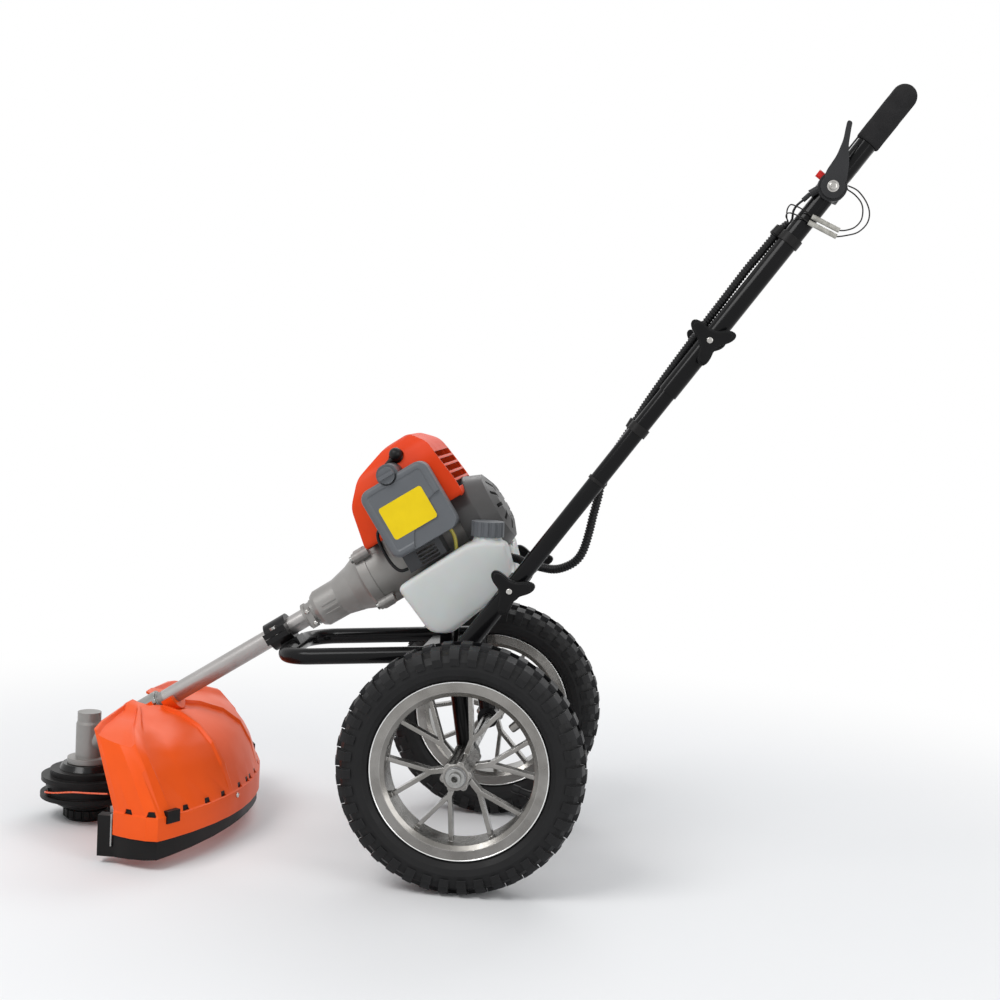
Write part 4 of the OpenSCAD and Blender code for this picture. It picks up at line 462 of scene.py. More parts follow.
# %% Valve stems
TRACK, RIM_INSIDE = 0.1955, 0.0955
valve_profile = [(0.0, 0.0), (0.0, 0.0056), (0.002, 0.0053), (0.005, 0.0044), (0.0155, 0.0043),
                 (0.016, 0.0050), (0.017, 0.0052), (0.025, 0.0050), (0.026, 0.0042), (0.026, 0.0)]
boss_profile = [(0.0, 0.0), (0.0, 0.0066), (0.004, 0.0060), (0.0125, 0.0058), (0.0146, 0.0051),
                (0.0152, 0.0)]


def wheel_stem(name, profile, side, degrees, finish_name):
    """Stands a turned shape on the inner face of a rim, pointing at the hub."""
    angle = math.radians(degrees)
    inward = Vector((-math.cos(angle), 0, -math.sin(angle)))
    seat = AXLE + Vector((0, side * TRACK, 0)) - inward * RIM_INSIDE
    wheel = "left_wheel" if side < 0 else "right_wheel"
    piece = place_piece(turned(profile, 20), name, wheel, facing(seat, inward), sharp=35)
    finish_of[name] = finish_name
    print(name, "at", [round(c, 4) for c in seat])


wheel_stem("left_valve", valve_profile, -1, -18, "black_rubber")
wheel_stem("left_boss", boss_profile, -1, 41, "rim_aluminium")
wheel_stem("right_valve", valve_profile, 1, -41, "black_rubber")

# %% [markdown]
# ## Rim lips
# The outer edge of each rim is rolled into a narrow lip that catches the light as a bright line. A
# mask in the material could paint that line, but a real bead shines from every side. It is a
# half-round profile, closed and spun into a ring, on both faces of both rims. Its metal is written
# far brighter than the rim's, so the bead also carries a painted highlight.

# %% Rim lips
RIM_HALF, FLANGE_R, LIP = 0.026, 0.1145, 0.0021
bead = [(-0.0004, -LIP), (0.0004, -LIP * 0.9), (0.0009, -LIP * 0.6), (0.0009, -LIP * 0.25),
        (0.0004, 0.0), (-0.0004, 0.0)]
lip_profile = [(x, FLANGE_R + r) for x, r in bead + bead[:1]]
for side, word in SIDES:
    for face, which in ((1, "outer"), (-1, "inner")):
        out = Vector((0, side * face, 0))
        place = facing(AXLE + Vector((0, side * TRACK, 0)) + out * RIM_HALF, out)
        lip = place_piece(turned(lip_profile, 96), f"{word}_{which}_lip", f"{word}_wheel", place)
        finish_of[lip.name] = "lip_highlight_aluminium"
print("lips:", sum(1 for n in finish_of if n.endswith("_lip")))

# %% [markdown]
# ## Moulded skins
# The guard, its skirt and the engine cover are curved mouldings, and the CAD model builds their
# curves from flat facets. A subdivision surface would round their slots as well, so only the
# shading is changed. A copy of each node is merged, because a CAD mesh is loose triangles, and
# shaded smooth wherever two faces meet at a shallow angle, so that only the real ridges stay crisp.

# %% Smooth copies
WELD = 2e-5
record = frame["record"]
body_of = {n: body for body, names in record["behaviour"]["bodies"].items() for n in names}


def merged(node_name):
    """A copy of a CAD node's mesh, its loose triangles joined."""
    bm = bmesh.new()
    bm.from_mesh(nodes[node_name].data)
    bmesh.ops.remove_doubles(bm, verts=bm.verts, dist=WELD)
    bmesh.ops.dissolve_degenerate(bm, edges=bm.edges, dist=1e-6)
    return bm


def stand_in(bm, name, node_name, sharp, finish_name, rising=None):
    """A piece that stands for a CAD node, on the node's body and with the finish it is given."""
    piece = place_piece(bm, name, body_of[node_name], Matrix.Identity(4), sharp, rising)
    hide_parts(node_name)
    finish_of[name] = finish_name
    print(name, len(piece.data.polygons), "faces")


stand_in(merged("guard"), "guard_shell", "guard", 46, "orange_plastic", rising=17)
stand_in(merged("guard_skirt"), "skirt_shell", "guard_skirt", 30, "black_plastic")
stand_in(merged("engine_cover"), "cover_shell", "engine_cover", 32, "cover_orange")

# %% [markdown]
# ## Clips of the skirt
# The black skirt is held by clips that show as dark tabs in the slots along the guard's strip, and
# a small bolt holds the strip. Open slots would let light through, so each gets its tab: a plate
# with a narrow top. To put it in its slot, the guard's rim is followed: a circle round a point
# ahead of the guard, cut in at the front corners.

# %% Skirt clips and strip bolt
GUARD_MIDDLE = Vector((-0.485 - MIDDLE, 0.0, 0.0))
GUARD_R, GUARD_LEAD, GUARD_SPREAD = 0.418, 0.256, 80.0
CORNER_FROM, CORNER_SHARE = 66.0, 0.29
SLOT_ANGLES = (3, 14.5, 31.5, 43, 54.5, 67.5, 74.5)
SLOT_LOW, SLOT_W, SLOT_H, SLOT_TAPER = 0.0704, 0.0130, 0.0070, 0.6
CLIP_THICK, CLIP_OUT = 0.0018, -0.0036
BOLT_TURN, BOLT_OUT, BOLT_Z = -20.2, 0.0028, 0.064
STRIP_BOLT = (0.0034, 0.0024)


def rim_point(turn):
    """The rim at an angle, in degrees, from straight behind the head."""
    a = math.radians(turn)
    across, ahead = GUARD_LEAD * math.sin(a), GUARD_LEAD * math.cos(a)
    cut = 1 - CORNER_SHARE * max(abs(turn) - CORNER_FROM, 0) / (GUARD_SPREAD - CORNER_FROM)
    reach = cut * (math.sqrt(GUARD_R ** 2 - across ** 2) - ahead)
    return GUARD_MIDDLE + reach * Vector((math.cos(a), math.sin(a), 0))


def on_rim(turn, out, z):
    """A matrix on the guard's rim: X along it, Y up and Z out of it."""
    along = (rim_point(turn + 1) - rim_point(turn - 1)).normalized()
    outward = Vector((along.y, -along.x, 0))
    axes = Matrix((along, Vector((0, 0, 1)), outward)).transposed().to_4x4()
    return Matrix.Translation(rim_point(turn) + outward * out + Vector((0, 0, z))) @ axes


clips = bmesh.new()
for turn in [side * a for a in SLOT_ANGLES for side in (-1, 1)]:
    plate = bmesh.ops.create_grid(clips, x_segments=1, y_segments=1, size=0.5)["verts"]
    bmesh.ops.scale(clips, vec=(SLOT_W, SLOT_H, 1), verts=plate)
    bmesh.ops.scale(clips, vec=(SLOT_TAPER, 1, 1), verts=[v for v in plate if v.co.y > 0])
    top = raised(clips, [plate[0].link_faces[0]], CLIP_THICK)
    bmesh.ops.transform(clips, matrix=on_rim(turn, CLIP_OUT, SLOT_LOW + SLOT_H / 2),
                        verts=plate + top)
bmesh.ops.recalc_face_normals(clips, faces=clips.faces)
clip_tabs = place_piece(clips, "skirt_clips", "chassis", Matrix.Identity(4))
finish_of["skirt_clips"] = "black_plastic"
bolt_at = on_rim(BOLT_TURN, BOLT_OUT, BOLT_Z)
screw_head("strip_bolt", "chassis", bolt_at.translation, bolt_at.to_3x3() @ Vector((0, 0, 1)),
           *STRIP_BOLT)
print("clips:", 2 * len(SLOT_ANGLES))

# %% [markdown]
# ## The saddle under the tube
# Where the tube crosses the guard's top, a moulded saddle fills the notch below it; without it,
# daylight would show there. It could be carved out of a block, but half of a ring is simpler: a
# closed profile is spun round the tube, a plane cuts off the upper half, and the cut is filled.

# %% Saddle
TUBE_R, SADDLE_R, SADDLE_FLARE = 0.01305, 0.0235, 0.002
SADDLE_FROM, SADDLE_TO = -0.264, -0.247
saddle_profile = [(SADDLE_FROM, TUBE_R), (SADDLE_FROM, SADDLE_R - SADDLE_FLARE),
                  (SADDLE_TO, SADDLE_R), (SADDLE_TO, TUBE_R)]
half = turned(saddle_profile + saddle_profile[:1], 48)
bmesh.ops.bisect_plane(half, geom=half.verts[:] + half.edges[:] + half.faces[:],
                       plane_co=(0, 0, 0), plane_no=(0, 0, 1), clear_outer=True)
bmesh.ops.holes_fill(half, edges=[e for e in half.edges if e.is_boundary])
bmesh.ops.recalc_face_normals(half, faces=half.faces)
saddle = place_piece(half, "tube_saddle", "chassis", TUBE)
finish_of["tube_saddle"] = "orange_plastic"
print("saddle", len(saddle.data.polygons), "faces")

# %% [markdown]
# ## The fuel tank
# The tank is blow-moulded, so all its edges are soft. Rounding so many edges one by one is fragile
# on a cut solid. A voxel remesh gives the copy an even skin instead, and a few smoothing passes
# melt its edges, as hot plastic does in its mould.

# %% Tank
VOXEL = 0.0022
SOFTEN = 14


def remeshed(bm, voxel):
    """The bmesh's skin made again from even quads."""
    shell = as_object(bm, "skin")
    even = shell.modifiers.new("even", "REMESH")
    even.mode = "VOXEL"
    even.voxel_size = voxel
    made = bmesh.new()
    made.from_object(shell, bpy.context.evaluated_depsgraph_get())
    bpy.data.objects.remove(shell)
    return made


tank = remeshed(merged("fuel_tank"), VOXEL)
smooth_all(tank, 0.5, SOFTEN)
stand_in(tank, "tank_shell", "fuel_tank", 75, "tank_plastic")

# %% [markdown]
# ## The filter cover
# The cover is a shallow grey lid with a beaded border round a sunk panel. It starts as one face:
# a vertex bevel rounds its corners, an extrusion gives the sides, an edge bevel rolls the border
# and two insets sink the panel. A boss carries the catch, and two cutters take out the sweep in the
# lower corner and the room round the catch.

# %% Plates, cutters and cuts
face_out = Matrix(((1, 0, 0), (0, 0, -1), (0, 1, 0))).to_4x4()


def rounded_plate(width, height, thick, corner, steps):
    """A plate on the XY plane with rounded corners."""
    bm = bmesh.new()
    bmesh.ops.create_grid(bm, x_segments=1, y_segments=1, size=0.5)
    bmesh.ops.scale(bm, vec=(width, height, 1), verts=bm.verts)
    bmesh.ops.bevel(bm, geom=bm.verts[:], offset=corner, segments=steps, profile=0.5,
                    affect="VERTICES", material=-1)
    raised(bm, bm.faces[:], thick)
    bmesh.ops.recalc_face_normals(bm, faces=bm.faces)
    return bm


def drum(centre, radius, low, high):
    """A plain cylinder from low to high along Z, to add or to cut with."""
    bm = bmesh.new()
    bmesh.ops.create_cone(bm, cap_ends=True, segments=96, radius1=radius, radius2=radius,
                          depth=high - low,
                          matrix=Matrix.Translation((centre.x, centre.y, (low + high) / 2)))
    return bm


def combined(bm, others):
    """The bmesh with others added or cut away by Boolean modifiers."""
    base = as_object(bm, "base")
    extras = []
    for operation, other in others:
        extras.append(as_object(other, "other"))
        step = base.modifiers.new(operation, "BOOLEAN")
        step.operation, step.object, step.solver = operation, extras[-1], "EXACT"
    made = bmesh.new()
    made.from_object(base, bpy.context.evaluated_depsgraph_get())
    for extra in [base] + extras:
        bpy.data.objects.remove(extra)
    return made


# %% Filter lid
LID_BACK, LID_FACE = 0.09605, 0.12005
LID_LOW, LID_HIGH = Vector((0.145, 0.005)), Vector((0.245, 0.105))
LID_CORNER, LID_ROLL, BORDER, SLOPE, PANEL_DROP = 0.014, 0.006, 0.0025, 0.0022, 0.0012
CATCH_AT, CATCH_ROOM = Vector((0.193, 0.108)), 0.0131
BOSS_R, BOSS_TOP = 0.015, LID_FACE - 0.006
SWEEP_AT, SWEEP_R, SWEEP_DROP = Vector((0.250, -0.020)), 0.078, 0.003
ABOVE = LID_FACE + 0.01
size = LID_HIGH - LID_LOW
middle = (LID_LOW + LID_HIGH) / 2
lid = rounded_plate(size.x, size.y, LID_FACE - LID_BACK, LID_CORNER, 7)
bmesh.ops.bevel(lid, geom=top_of(lid).edges[:], offset=LID_ROLL, segments=5, profile=0.5,
                affect="EDGES", material=-1)
face = top_of(lid)
bmesh.ops.inset_region(lid, faces=[face], thickness=BORDER, depth=0.0)
bmesh.ops.inset_region(lid, faces=[face], thickness=SLOPE, depth=-PANEL_DROP)
bmesh.ops.translate(lid, vec=(middle.x, middle.y, LID_BACK), verts=lid.verts)
lid = combined(lid, [("UNION", drum(CATCH_AT, BOSS_R, LID_BACK, BOSS_TOP)),
                     ("DIFFERENCE", drum(SWEEP_AT, SWEEP_R, LID_FACE - SWEEP_DROP, ABOVE)),
                     ("DIFFERENCE", drum(CATCH_AT, CATCH_ROOM, BOSS_TOP, ABOVE))])
bmesh.ops.transform(lid, matrix=TUBE @ face_out, verts=lid.verts)
stand_in(lid, "filter_lid", "filter_cover", 28, "grey_plastic")

# %% [markdown]
# ## The plain patch on the filter cover
# The cover carries a thin vinyl patch. It stays plain: a rounded sheet, a hair thick, made as the
# lid was, from one face with bevelled corners.

# %% Filter cover patch
PATCH_W, PATCH_H, PATCH_CORNER, PATCH_THICK = 0.065, 0.047, 0.004, 0.0004
PATCH_AT = (0.1925, 0.052, LID_FACE - PANEL_DROP - 0.00005)
vinyl = rounded_plate(PATCH_W, PATCH_H, PATCH_THICK, PATCH_CORNER, 6)
spot = TUBE @ face_out @ Matrix.Translation(PATCH_AT)
vinyl = place_piece(vinyl, "cover_patch", "chassis", spot, sharp=30)
finish_of["cover_patch"] = "patch_vinyl"
print("patch at", [round(c, 3) for c in spot.translation])

# %% [markdown]
# ## Shared surface effects
# Real finishes are never one flat colour. Image textures could hold every scratch, but they need
# unwrapping; noise on Object coordinates fits any shape. Four node groups hold what many materials
# share: a fine grain with broad soft patches, the rounding of edges with a mask that lightens them,
# as wear on most finishes and as a painted highlight on the tyres and rims, dust that settles on
# what faces up, and, for the wheels, how far a point lies from the axle and which faces turn
# towards it, where the rims are painted darker as shade. A group puts out only values that change
# over the surface; each material has its own shader and its own constants.

# %% Group helpers
def new_group(name, inputs, outputs):
    """An empty group with number inputs, and outputs that are numbers apart from a Normal."""
    group = bpy.data.node_groups.new(name, "ShaderNodeTree")
    for label, value in inputs.items():
        socket = group.interface.new_socket(label, in_out="INPUT", socket_type="NodeSocketFloat")
        socket.default_value = value
    for label in outputs:
        kind = "NodeSocketVector" if label == "Normal" else "NodeSocketFloat"
        group.interface.new_socket(label, in_out="OUTPUT", socket_type=kind)
    return group, group.nodes.new("NodeGroupInput"), group.nodes.new("NodeGroupOutput")


def node(tree, kind, **values):
    """A new node. Each value goes to the input of that name, or else to the node itself."""
    made = tree.nodes.new(kind)
    for key, value in values.items():
        label = key.replace("_", " ")
        if label in made.inputs:
            made.inputs[label].default_value = value
        else:
            setattr(made, key, value)
    return made


def wire(tree, *links):
    """Links nodes: each link is a node and its output, then a node and its input."""
    for source, out, target, into in links:
        tree.links.new(source.outputs[out], target.inputs[into])


# %% Grain and patches
grain, ins, outs = new_group("grain", {"Grain": 900.0, "Patch": 14.0}, ("Height", "Patch"))
spot_at = node(grain, "ShaderNodeTexCoord")
fine = node(grain, "ShaderNodeTexNoise", Detail=3.0, Roughness=0.6)
broad = node(grain, "ShaderNodeTexNoise", Detail=4.0, Roughness=0.55)
spread = node(grain, "ShaderNodeMapRange", From_Min=0.35, From_Max=0.68)
for noise, label in ((fine, "Grain"), (broad, "Patch")):
    wire(grain, (spot_at, "Object", noise, "Vector"), (ins, label, noise, "Scale"))
wire(grain, (fine, "Fac", outs, "Height"), (broad, "Fac", spread, "Value"),
     (spread, "Result", outs, "Patch"))
print(grain.name, len(grain.nodes), "nodes")

# %% Soft edges, with a mask for wear and painted edge highlights
# The edge mask lightens edges: wear on most finishes, a painted highlight on the tyre lugs, and
# both on the rims.
edges, ins, outs = new_group("soft_edges", {"Radius": 0.0012, "Rub": 60.0}, ("Normal", "WearGlint"))
round_off = node(edges, "ShaderNodeBevel", samples=4)
surface = node(edges, "ShaderNodeNewGeometry")
agree = node(edges, "ShaderNodeVectorMath", operation="DOT_PRODUCT")
sharp = node(edges, "ShaderNodeMapRange", From_Min=0.985, From_Max=0.90)
spot_at = node(edges, "ShaderNodeTexCoord")
edge_noise = node(edges, "ShaderNodeTexNoise", Detail=5.0)
both = node(edges, "ShaderNodeMath", operation="MULTIPLY")
wire(edges, (ins, "Radius", round_off, "Radius"), (round_off, "Normal", agree, 0),
     (surface, "Normal", agree, 1), (agree, "Value", sharp, "Value"),
     (spot_at, "Object", edge_noise, "Vector"), (ins, "Rub", edge_noise, "Scale"),
     (sharp, "Result", both, 0), (edge_noise, "Fac", both, 1),
     (round_off, "Normal", outs, "Normal"), (both, "Value", outs, "WearGlint"))
print(edges.name, len(edges.nodes), "nodes")

# %% Dust
dust, ins, outs = new_group("dust", {"Scale": 40.0}, ("Dust",))
parts = node(dust, "ShaderNodeSeparateXYZ")
upward = node(dust, "ShaderNodeMapRange")
spot_at = node(dust, "ShaderNodeTexCoord")
specks = node(dust, "ShaderNodeTexNoise", Detail=6.0, Roughness=0.7)
settle = node(dust, "ShaderNodeMath", operation="MULTIPLY")
wire(dust, (spot_at, "Normal", parts, "Vector"), (parts, "Z", upward, "Value"),
     (spot_at, "Object", specks, "Vector"), (ins, "Scale", specks, "Scale"),
     (upward, "Result", settle, 0), (specks, "Fac", settle, 1), (settle, "Value", outs, "Dust"))
print(dust.name, len(dust.nodes), "nodes")

# %% Rings of a wheel
# The second mask marks the faces that turn towards the axle; the rims are painted darker there as
# shade.
ring, ins, outs = new_group("wheel_ring", {"Inner": 0.09, "Outer": 0.16}, ("Outward", "BarrelShade"))
spot_at = node(ring, "ShaderNodeTexCoord")
from_axle = node(ring, "ShaderNodeVectorMath", operation="SUBTRACT")
from_axle.inputs[1].default_value = AXLE
in_plane = node(ring, "ShaderNodeVectorMath", operation="MULTIPLY")
in_plane.inputs[1].default_value = (1, 0, 1)
reach = node(ring, "ShaderNodeVectorMath", operation="LENGTH")
way = node(ring, "ShaderNodeVectorMath", operation="NORMALIZE")
towards = node(ring, "ShaderNodeVectorMath", operation="DOT_PRODUCT")
outward = node(ring, "ShaderNodeMapRange", interpolation_type="SMOOTHSTEP")
barrel_shade = node(ring, "ShaderNodeMapRange", From_Min=-0.35, From_Max=-0.9)
wire(ring, (spot_at, "Object", from_axle, 0), (from_axle, "Vector", in_plane, 0),
     (in_plane, "Vector", reach, 0), (in_plane, "Vector", way, 0), (way, "Vector", towards, 0),
     (spot_at, "Normal", towards, 1), (reach, "Value", outward, "Value"),
     (ins, "Inner", outward, "From Min"), (ins, "Outer", outward, "From Max"),
     (towards, "Value", barrel_shade, "Value"), (outward, "Result", outs, "Outward"),
     (barrel_shade, "Result", outs, "BarrelShade"))
print(ring.name, len(ring.nodes), "nodes")

# %% [markdown]
# ## A finish
# Every finish starts the same way: two close colours mixed by the broad patches, a roughness that
# wanders a little, and a bump from the grain over softened edges. What sets a finish apart, its
# metal, coat or clearness, is set on its own shader. After its two colours, a finish is given its
# roughness, how far that wanders, the grain and the patches to a metre, and the bump's strength.
# Its shine is the shader's specular level.

# %% Build a finish
DUST_COLOUR = (0.33, 0.30, 0.26)
materials = {}


def placed(tree, group, **values):
    """A group in a material, with input values of its own."""
    return node(tree, "ShaderNodeGroup", node_tree=group, **values)


def mixed(tree, factor, under, tint):
    """Mixes a tint over what is under it, a colour or a socket, by a factor socket."""
    over = node(tree, "ShaderNodeMix", data_type="RGBA")
    first, second = [s for s in over.inputs if s.type == "RGBA"]
    second.default_value = (*tint, 1)
    if isinstance(under, tuple):
        first.default_value = (*under, 1)
    else:
        tree.links.new(under, first)
    tree.links.new(factor, over.inputs["Factor"])
    return [s for s in over.outputs if s.type == "RGBA"][0]


def finish(name, colour, darker, rough, wander, grain_size, patch_size, depth,
           edge_wear_glint=None, wear_glint_share=0.6, dusty=0.0, edge=0.0009, over=None, shine=0.5, **constants):
    """A material of two close colours, with lightened edges, worn and on some finishes a painted
    highlight, dust, and a tint over a group's mask, on the rims a painted shade:
    over=(group, mask, share, tint, values). The constants go to the shader's own sockets."""
    mat = bpy.data.materials.new(name)
    mat.use_nodes = True
    tree = mat.node_tree
    shader = tree.nodes["Principled BSDF"]
    for label, value in {"Specular IOR Level": shine, **constants}.items():
        shader.inputs[label.replace("_", " ")].default_value = value
    skin = placed(tree, grain, Grain=grain_size, Patch=patch_size)
    corners = placed(tree, edges, Radius=edge)
    layers = []
    if over:
        group, mask, share, tint, values = over
        layers.append((placed(tree, group, **values).outputs[mask], share, tint))
    if edge_wear_glint:
        layers.append((corners.outputs["WearGlint"], wear_glint_share, edge_wear_glint))
    if dusty:
        layers.append((placed(tree, dust).outputs["Dust"], dusty, DUST_COLOUR))
    result = mixed(tree, skin.outputs["Patch"], colour, darker)
    for mask, share, tint in layers:
        part = node(tree, "ShaderNodeMath", operation="MULTIPLY")
        part.inputs[1].default_value = share
        tree.links.new(mask, part.inputs[0])
        result = mixed(tree, part.outputs["Value"], result, tint)
    gloss = node(tree, "ShaderNodeMapRange", To_Min=max(rough - wander, 0.02),
                 To_Max=min(rough + wander, 1.0))
    bump = node(tree, "ShaderNodeBump", Strength=depth, Distance=0.001)
    tree.links.new(result, shader.inputs["Base Color"])
    wire(tree, (skin, "Patch", gloss, "Value"), (gloss, "Result", shader, "Roughness"),
         (skin, "Height", bump, "Height"), (corners, "Normal", bump, "Normal"),
         (bump, "Normal", shader, "Normal"))
    materials[name] = mat


# %% [markdown]
# ## Paint and metal
# The frame and bars are glossy black powder coat with a slight orange peel. The tube is satin
# aluminium, the housings are grey castings with a sandy skin, and the rims are bright castings. A
# shader's Metallic alone looks new, so each metal has its own grain, patches and worn edges. The
# rims' bright edges are partly wear and partly painted highlight, and their faces that turn towards
# the axle are painted darker as shade.

# %% Metals
finish("frame_paint", (0.0045, 0.0045, 0.005), (0.0065, 0.0065, 0.007), 0.22, 0.05, 260, 10, 0.03,
       edge_wear_glint=(0.04, 0.04, 0.042), wear_glint_share=0.3, dusty=0.004, shine=0.09, Coat_Weight=0.12,
       Coat_Roughness=0.06)
finish("bar_paint", (0.004, 0.004, 0.0045), (0.006, 0.006, 0.0065), 0.18, 0.04, 260, 9, 0.03,
       edge_wear_glint=(0.04, 0.04, 0.042), wear_glint_share=0.25, dusty=0.003, shine=0.09, Coat_Weight=0.10,
       Coat_Roughness=0.04)
finish("zinc", (0.36, 0.36, 0.35), (0.25, 0.25, 0.24), 0.26, 0.10, 700, 60, 0.04,
       edge_wear_glint=(0.6, 0.6, 0.59), Metallic=1.0)
finish("screw_zinc", (0.56, 0.55, 0.53), (0.40, 0.39, 0.37), 0.20, 0.08, 700, 90, 0.02, edge=0.0004,
       Metallic=1.0)
finish("bearing_steel", (0.40, 0.40, 0.41), (0.30, 0.30, 0.31), 0.28, 0.1, 900, 40, 0.03,
       Metallic=1.0)
finish("blade_steel", (0.42, 0.42, 0.42), (0.28, 0.27, 0.26), 0.35, 0.12, 500, 50, 0.05,
       Metallic=1.0)
finish("tube_aluminium", (0.43, 0.415, 0.405), (0.36, 0.348, 0.34), 0.33, 0.06, 1400, 25, 0.03,
       Metallic=0.85)
finish("cast_alloy", (0.295, 0.288, 0.276), (0.24, 0.232, 0.22), 0.42, 0.08, 420, 16, 0.14,
       edge_wear_glint=(0.42, 0.41, 0.39), wear_glint_share=0.5, dusty=0.03, Metallic=0.35)
finish("dark_alloy", (0.105, 0.10, 0.095), (0.08, 0.075, 0.07), 0.46, 0.08, 420, 18, 0.14,
       edge_wear_glint=(0.2, 0.19, 0.18), wear_glint_share=0.5, dusty=0.04, Metallic=0.3)
# The rims are painted darker as shade on faces turned to the axle; their bright edges are partly
# wear and partly painted highlight.
finish("rim_aluminium", (0.29, 0.28, 0.265), (0.195, 0.187, 0.175), 0.22, 0.10, 600, 26, 0.05,
       edge=0.0018, edge_wear_glint=(0.78, 0.77, 0.75), wear_glint_share=0.9,
       over=(ring, "BarrelShade", 0.75, (0.085, 0.080, 0.070), {}), Metallic=0.9)
# The lip's metal is written far brighter than the rim's: a painted highlight on a real bead.
finish("lip_highlight_aluminium", (0.86, 0.86, 0.85), (0.74, 0.74, 0.73), 0.16, 0.05, 600, 40, 0.02,
       edge=0.0003, Metallic=1.0)
finish("muffler_steel", (0.04, 0.04, 0.04), (0.07, 0.065, 0.06), 0.5, 0.1, 500, 25, 0.1,
       Metallic=0.4)
print("metals:", len(materials))

# %% [markdown]
# ## Plastics and rubber
# The guard and the engine cover are semi-gloss orange mouldings. The filter cover and fuel cap are
# mid-grey, the tank is milky and lets light sink in, and the tyres are matt rubber, paler and dusty
# on the tread; the paler tread is partly wear and partly a painted sheen on the lugs, and the lug
# edges carry painted highlights. Black plastics are written very dark, because their shine already
# lifts them.

# %% Plastics
finish("orange_plastic", (0.88, 0.102, 0.011), (0.82, 0.088, 0.009), 0.36, 0.06, 1100, 9, 0.02,
       edge_wear_glint=(0.92, 0.17, 0.045), wear_glint_share=0.35, dusty=0.004, edge=0.0016, shine=0.16)
finish("cover_orange", (0.80, 0.062, 0.011), (0.72, 0.050, 0.009), 0.40, 0.06, 1100, 10, 0.03,
       edge_wear_glint=(0.90, 0.15, 0.06), wear_glint_share=0.4, edge=0.0018, shine=0.14)
finish("grey_plastic", (0.116, 0.124, 0.134), (0.100, 0.107, 0.116), 0.42, 0.07, 1300, 12, 0.06,
       edge_wear_glint=(0.22, 0.225, 0.235), wear_glint_share=0.4, dusty=0.03, edge=0.0014, shine=0.3)
finish("dark_plastic", (0.058, 0.060, 0.064), (0.045, 0.047, 0.050), 0.42, 0.07, 1200, 14, 0.06,
       edge_wear_glint=(0.12, 0.12, 0.125), wear_glint_share=0.3, dusty=0.03, edge=0.0014, shine=0.25)
finish("black_plastic", (0.0085, 0.008, 0.008), (0.012, 0.0115, 0.0115), 0.44, 0.08, 1200, 16, 0.06,
       edge_wear_glint=(0.035, 0.034, 0.034), wear_glint_share=0.35, dusty=0.012, shine=0.15)
finish("clamp_plastic", (0.007, 0.007, 0.0075), (0.010, 0.010, 0.0105), 0.32, 0.07, 1000, 18, 0.05,
       dusty=0.01, shine=0.2)
finish("knob_plastic", (0.0048, 0.0048, 0.005), (0.0065, 0.0065, 0.0068), 0.34, 0.08, 1300, 22,
       0.05, edge_wear_glint=(0.055, 0.055, 0.056), wear_glint_share=0.5, dusty=0.006, edge=0.003, shine=0.12)
finish("lever_plastic", (0.032, 0.0322, 0.0335), (0.025, 0.0252, 0.0262), 0.44, 0.08, 1300, 22,
       0.06, edge_wear_glint=(0.07, 0.07, 0.074), wear_glint_share=0.4, dusty=0.006, edge=0.0016, shine=0.15)
finish("housing_plastic", (0.082, 0.081, 0.081), (0.066, 0.064, 0.063), 0.40, 0.07, 1300, 12, 0.06,
       edge_wear_glint=(0.18, 0.18, 0.185), wear_glint_share=0.4, dusty=0.02, edge=0.0016, shine=0.3)
finish("hose_plastic", (0.006, 0.006, 0.0065), (0.009, 0.009, 0.0095), 0.42, 0.06, 900, 30, 0.03,
       dusty=0.008, shine=0.2)
finish("gloss_black", (0.006, 0.006, 0.0065), (0.009, 0.009, 0.0095), 0.2, 0.05, 900, 18, 0.03,
       dusty=0.01, shine=0.25)
finish("red_plastic", (0.62, 0.014, 0.010), (0.52, 0.011, 0.008), 0.34, 0.06, 1000, 40, 0.04,
       shine=0.3)
finish("patch_vinyl", (0.80, 0.58, 0.006), (0.74, 0.53, 0.005), 0.38, 0.05, 1500, 30, 0.02,
       edge=0.0002, shine=0.2)
finish("tank_plastic", (0.61, 0.622, 0.61), (0.55, 0.560, 0.545), 0.36, 0.06, 700, 8, 0.02,
       dusty=0.02, edge=0.003, shine=0.35, Subsurface_Weight=0.3, Subsurface_Scale=0.01)
finish("yellow_tube", (0.50, 0.43, 0.06), (0.40, 0.34, 0.045), 0.3, 0.05, 800, 50, 0.02,
       Subsurface_Weight=0.2, Subsurface_Scale=0.003)
finish("clear_sleeve", (0.42, 0.41, 0.37), (0.26, 0.25, 0.22), 0.25, 0.05, 800, 160, 0.01,
       edge=0.0004)
print("finishes:", len(materials))

# %% Rubber, foam and nylon
finish("line_nylon", (0.85, 0.11, 0.02), (0.75, 0.085, 0.015), 0.3, 0.05, 900, 60, 0.02,
       Subsurface_Weight=0.15, Subsurface_Scale=0.001)
finish("black_rubber", (0.008, 0.008, 0.0085), (0.011, 0.011, 0.0115), 0.42, 0.08, 900, 25, 0.05,
       shine=0.2)
finish("wire_cover", (0.010, 0.0095, 0.009), (0.014, 0.0135, 0.0125), 0.4, 0.06, 900, 40, 0.02,
       shine=0.2)
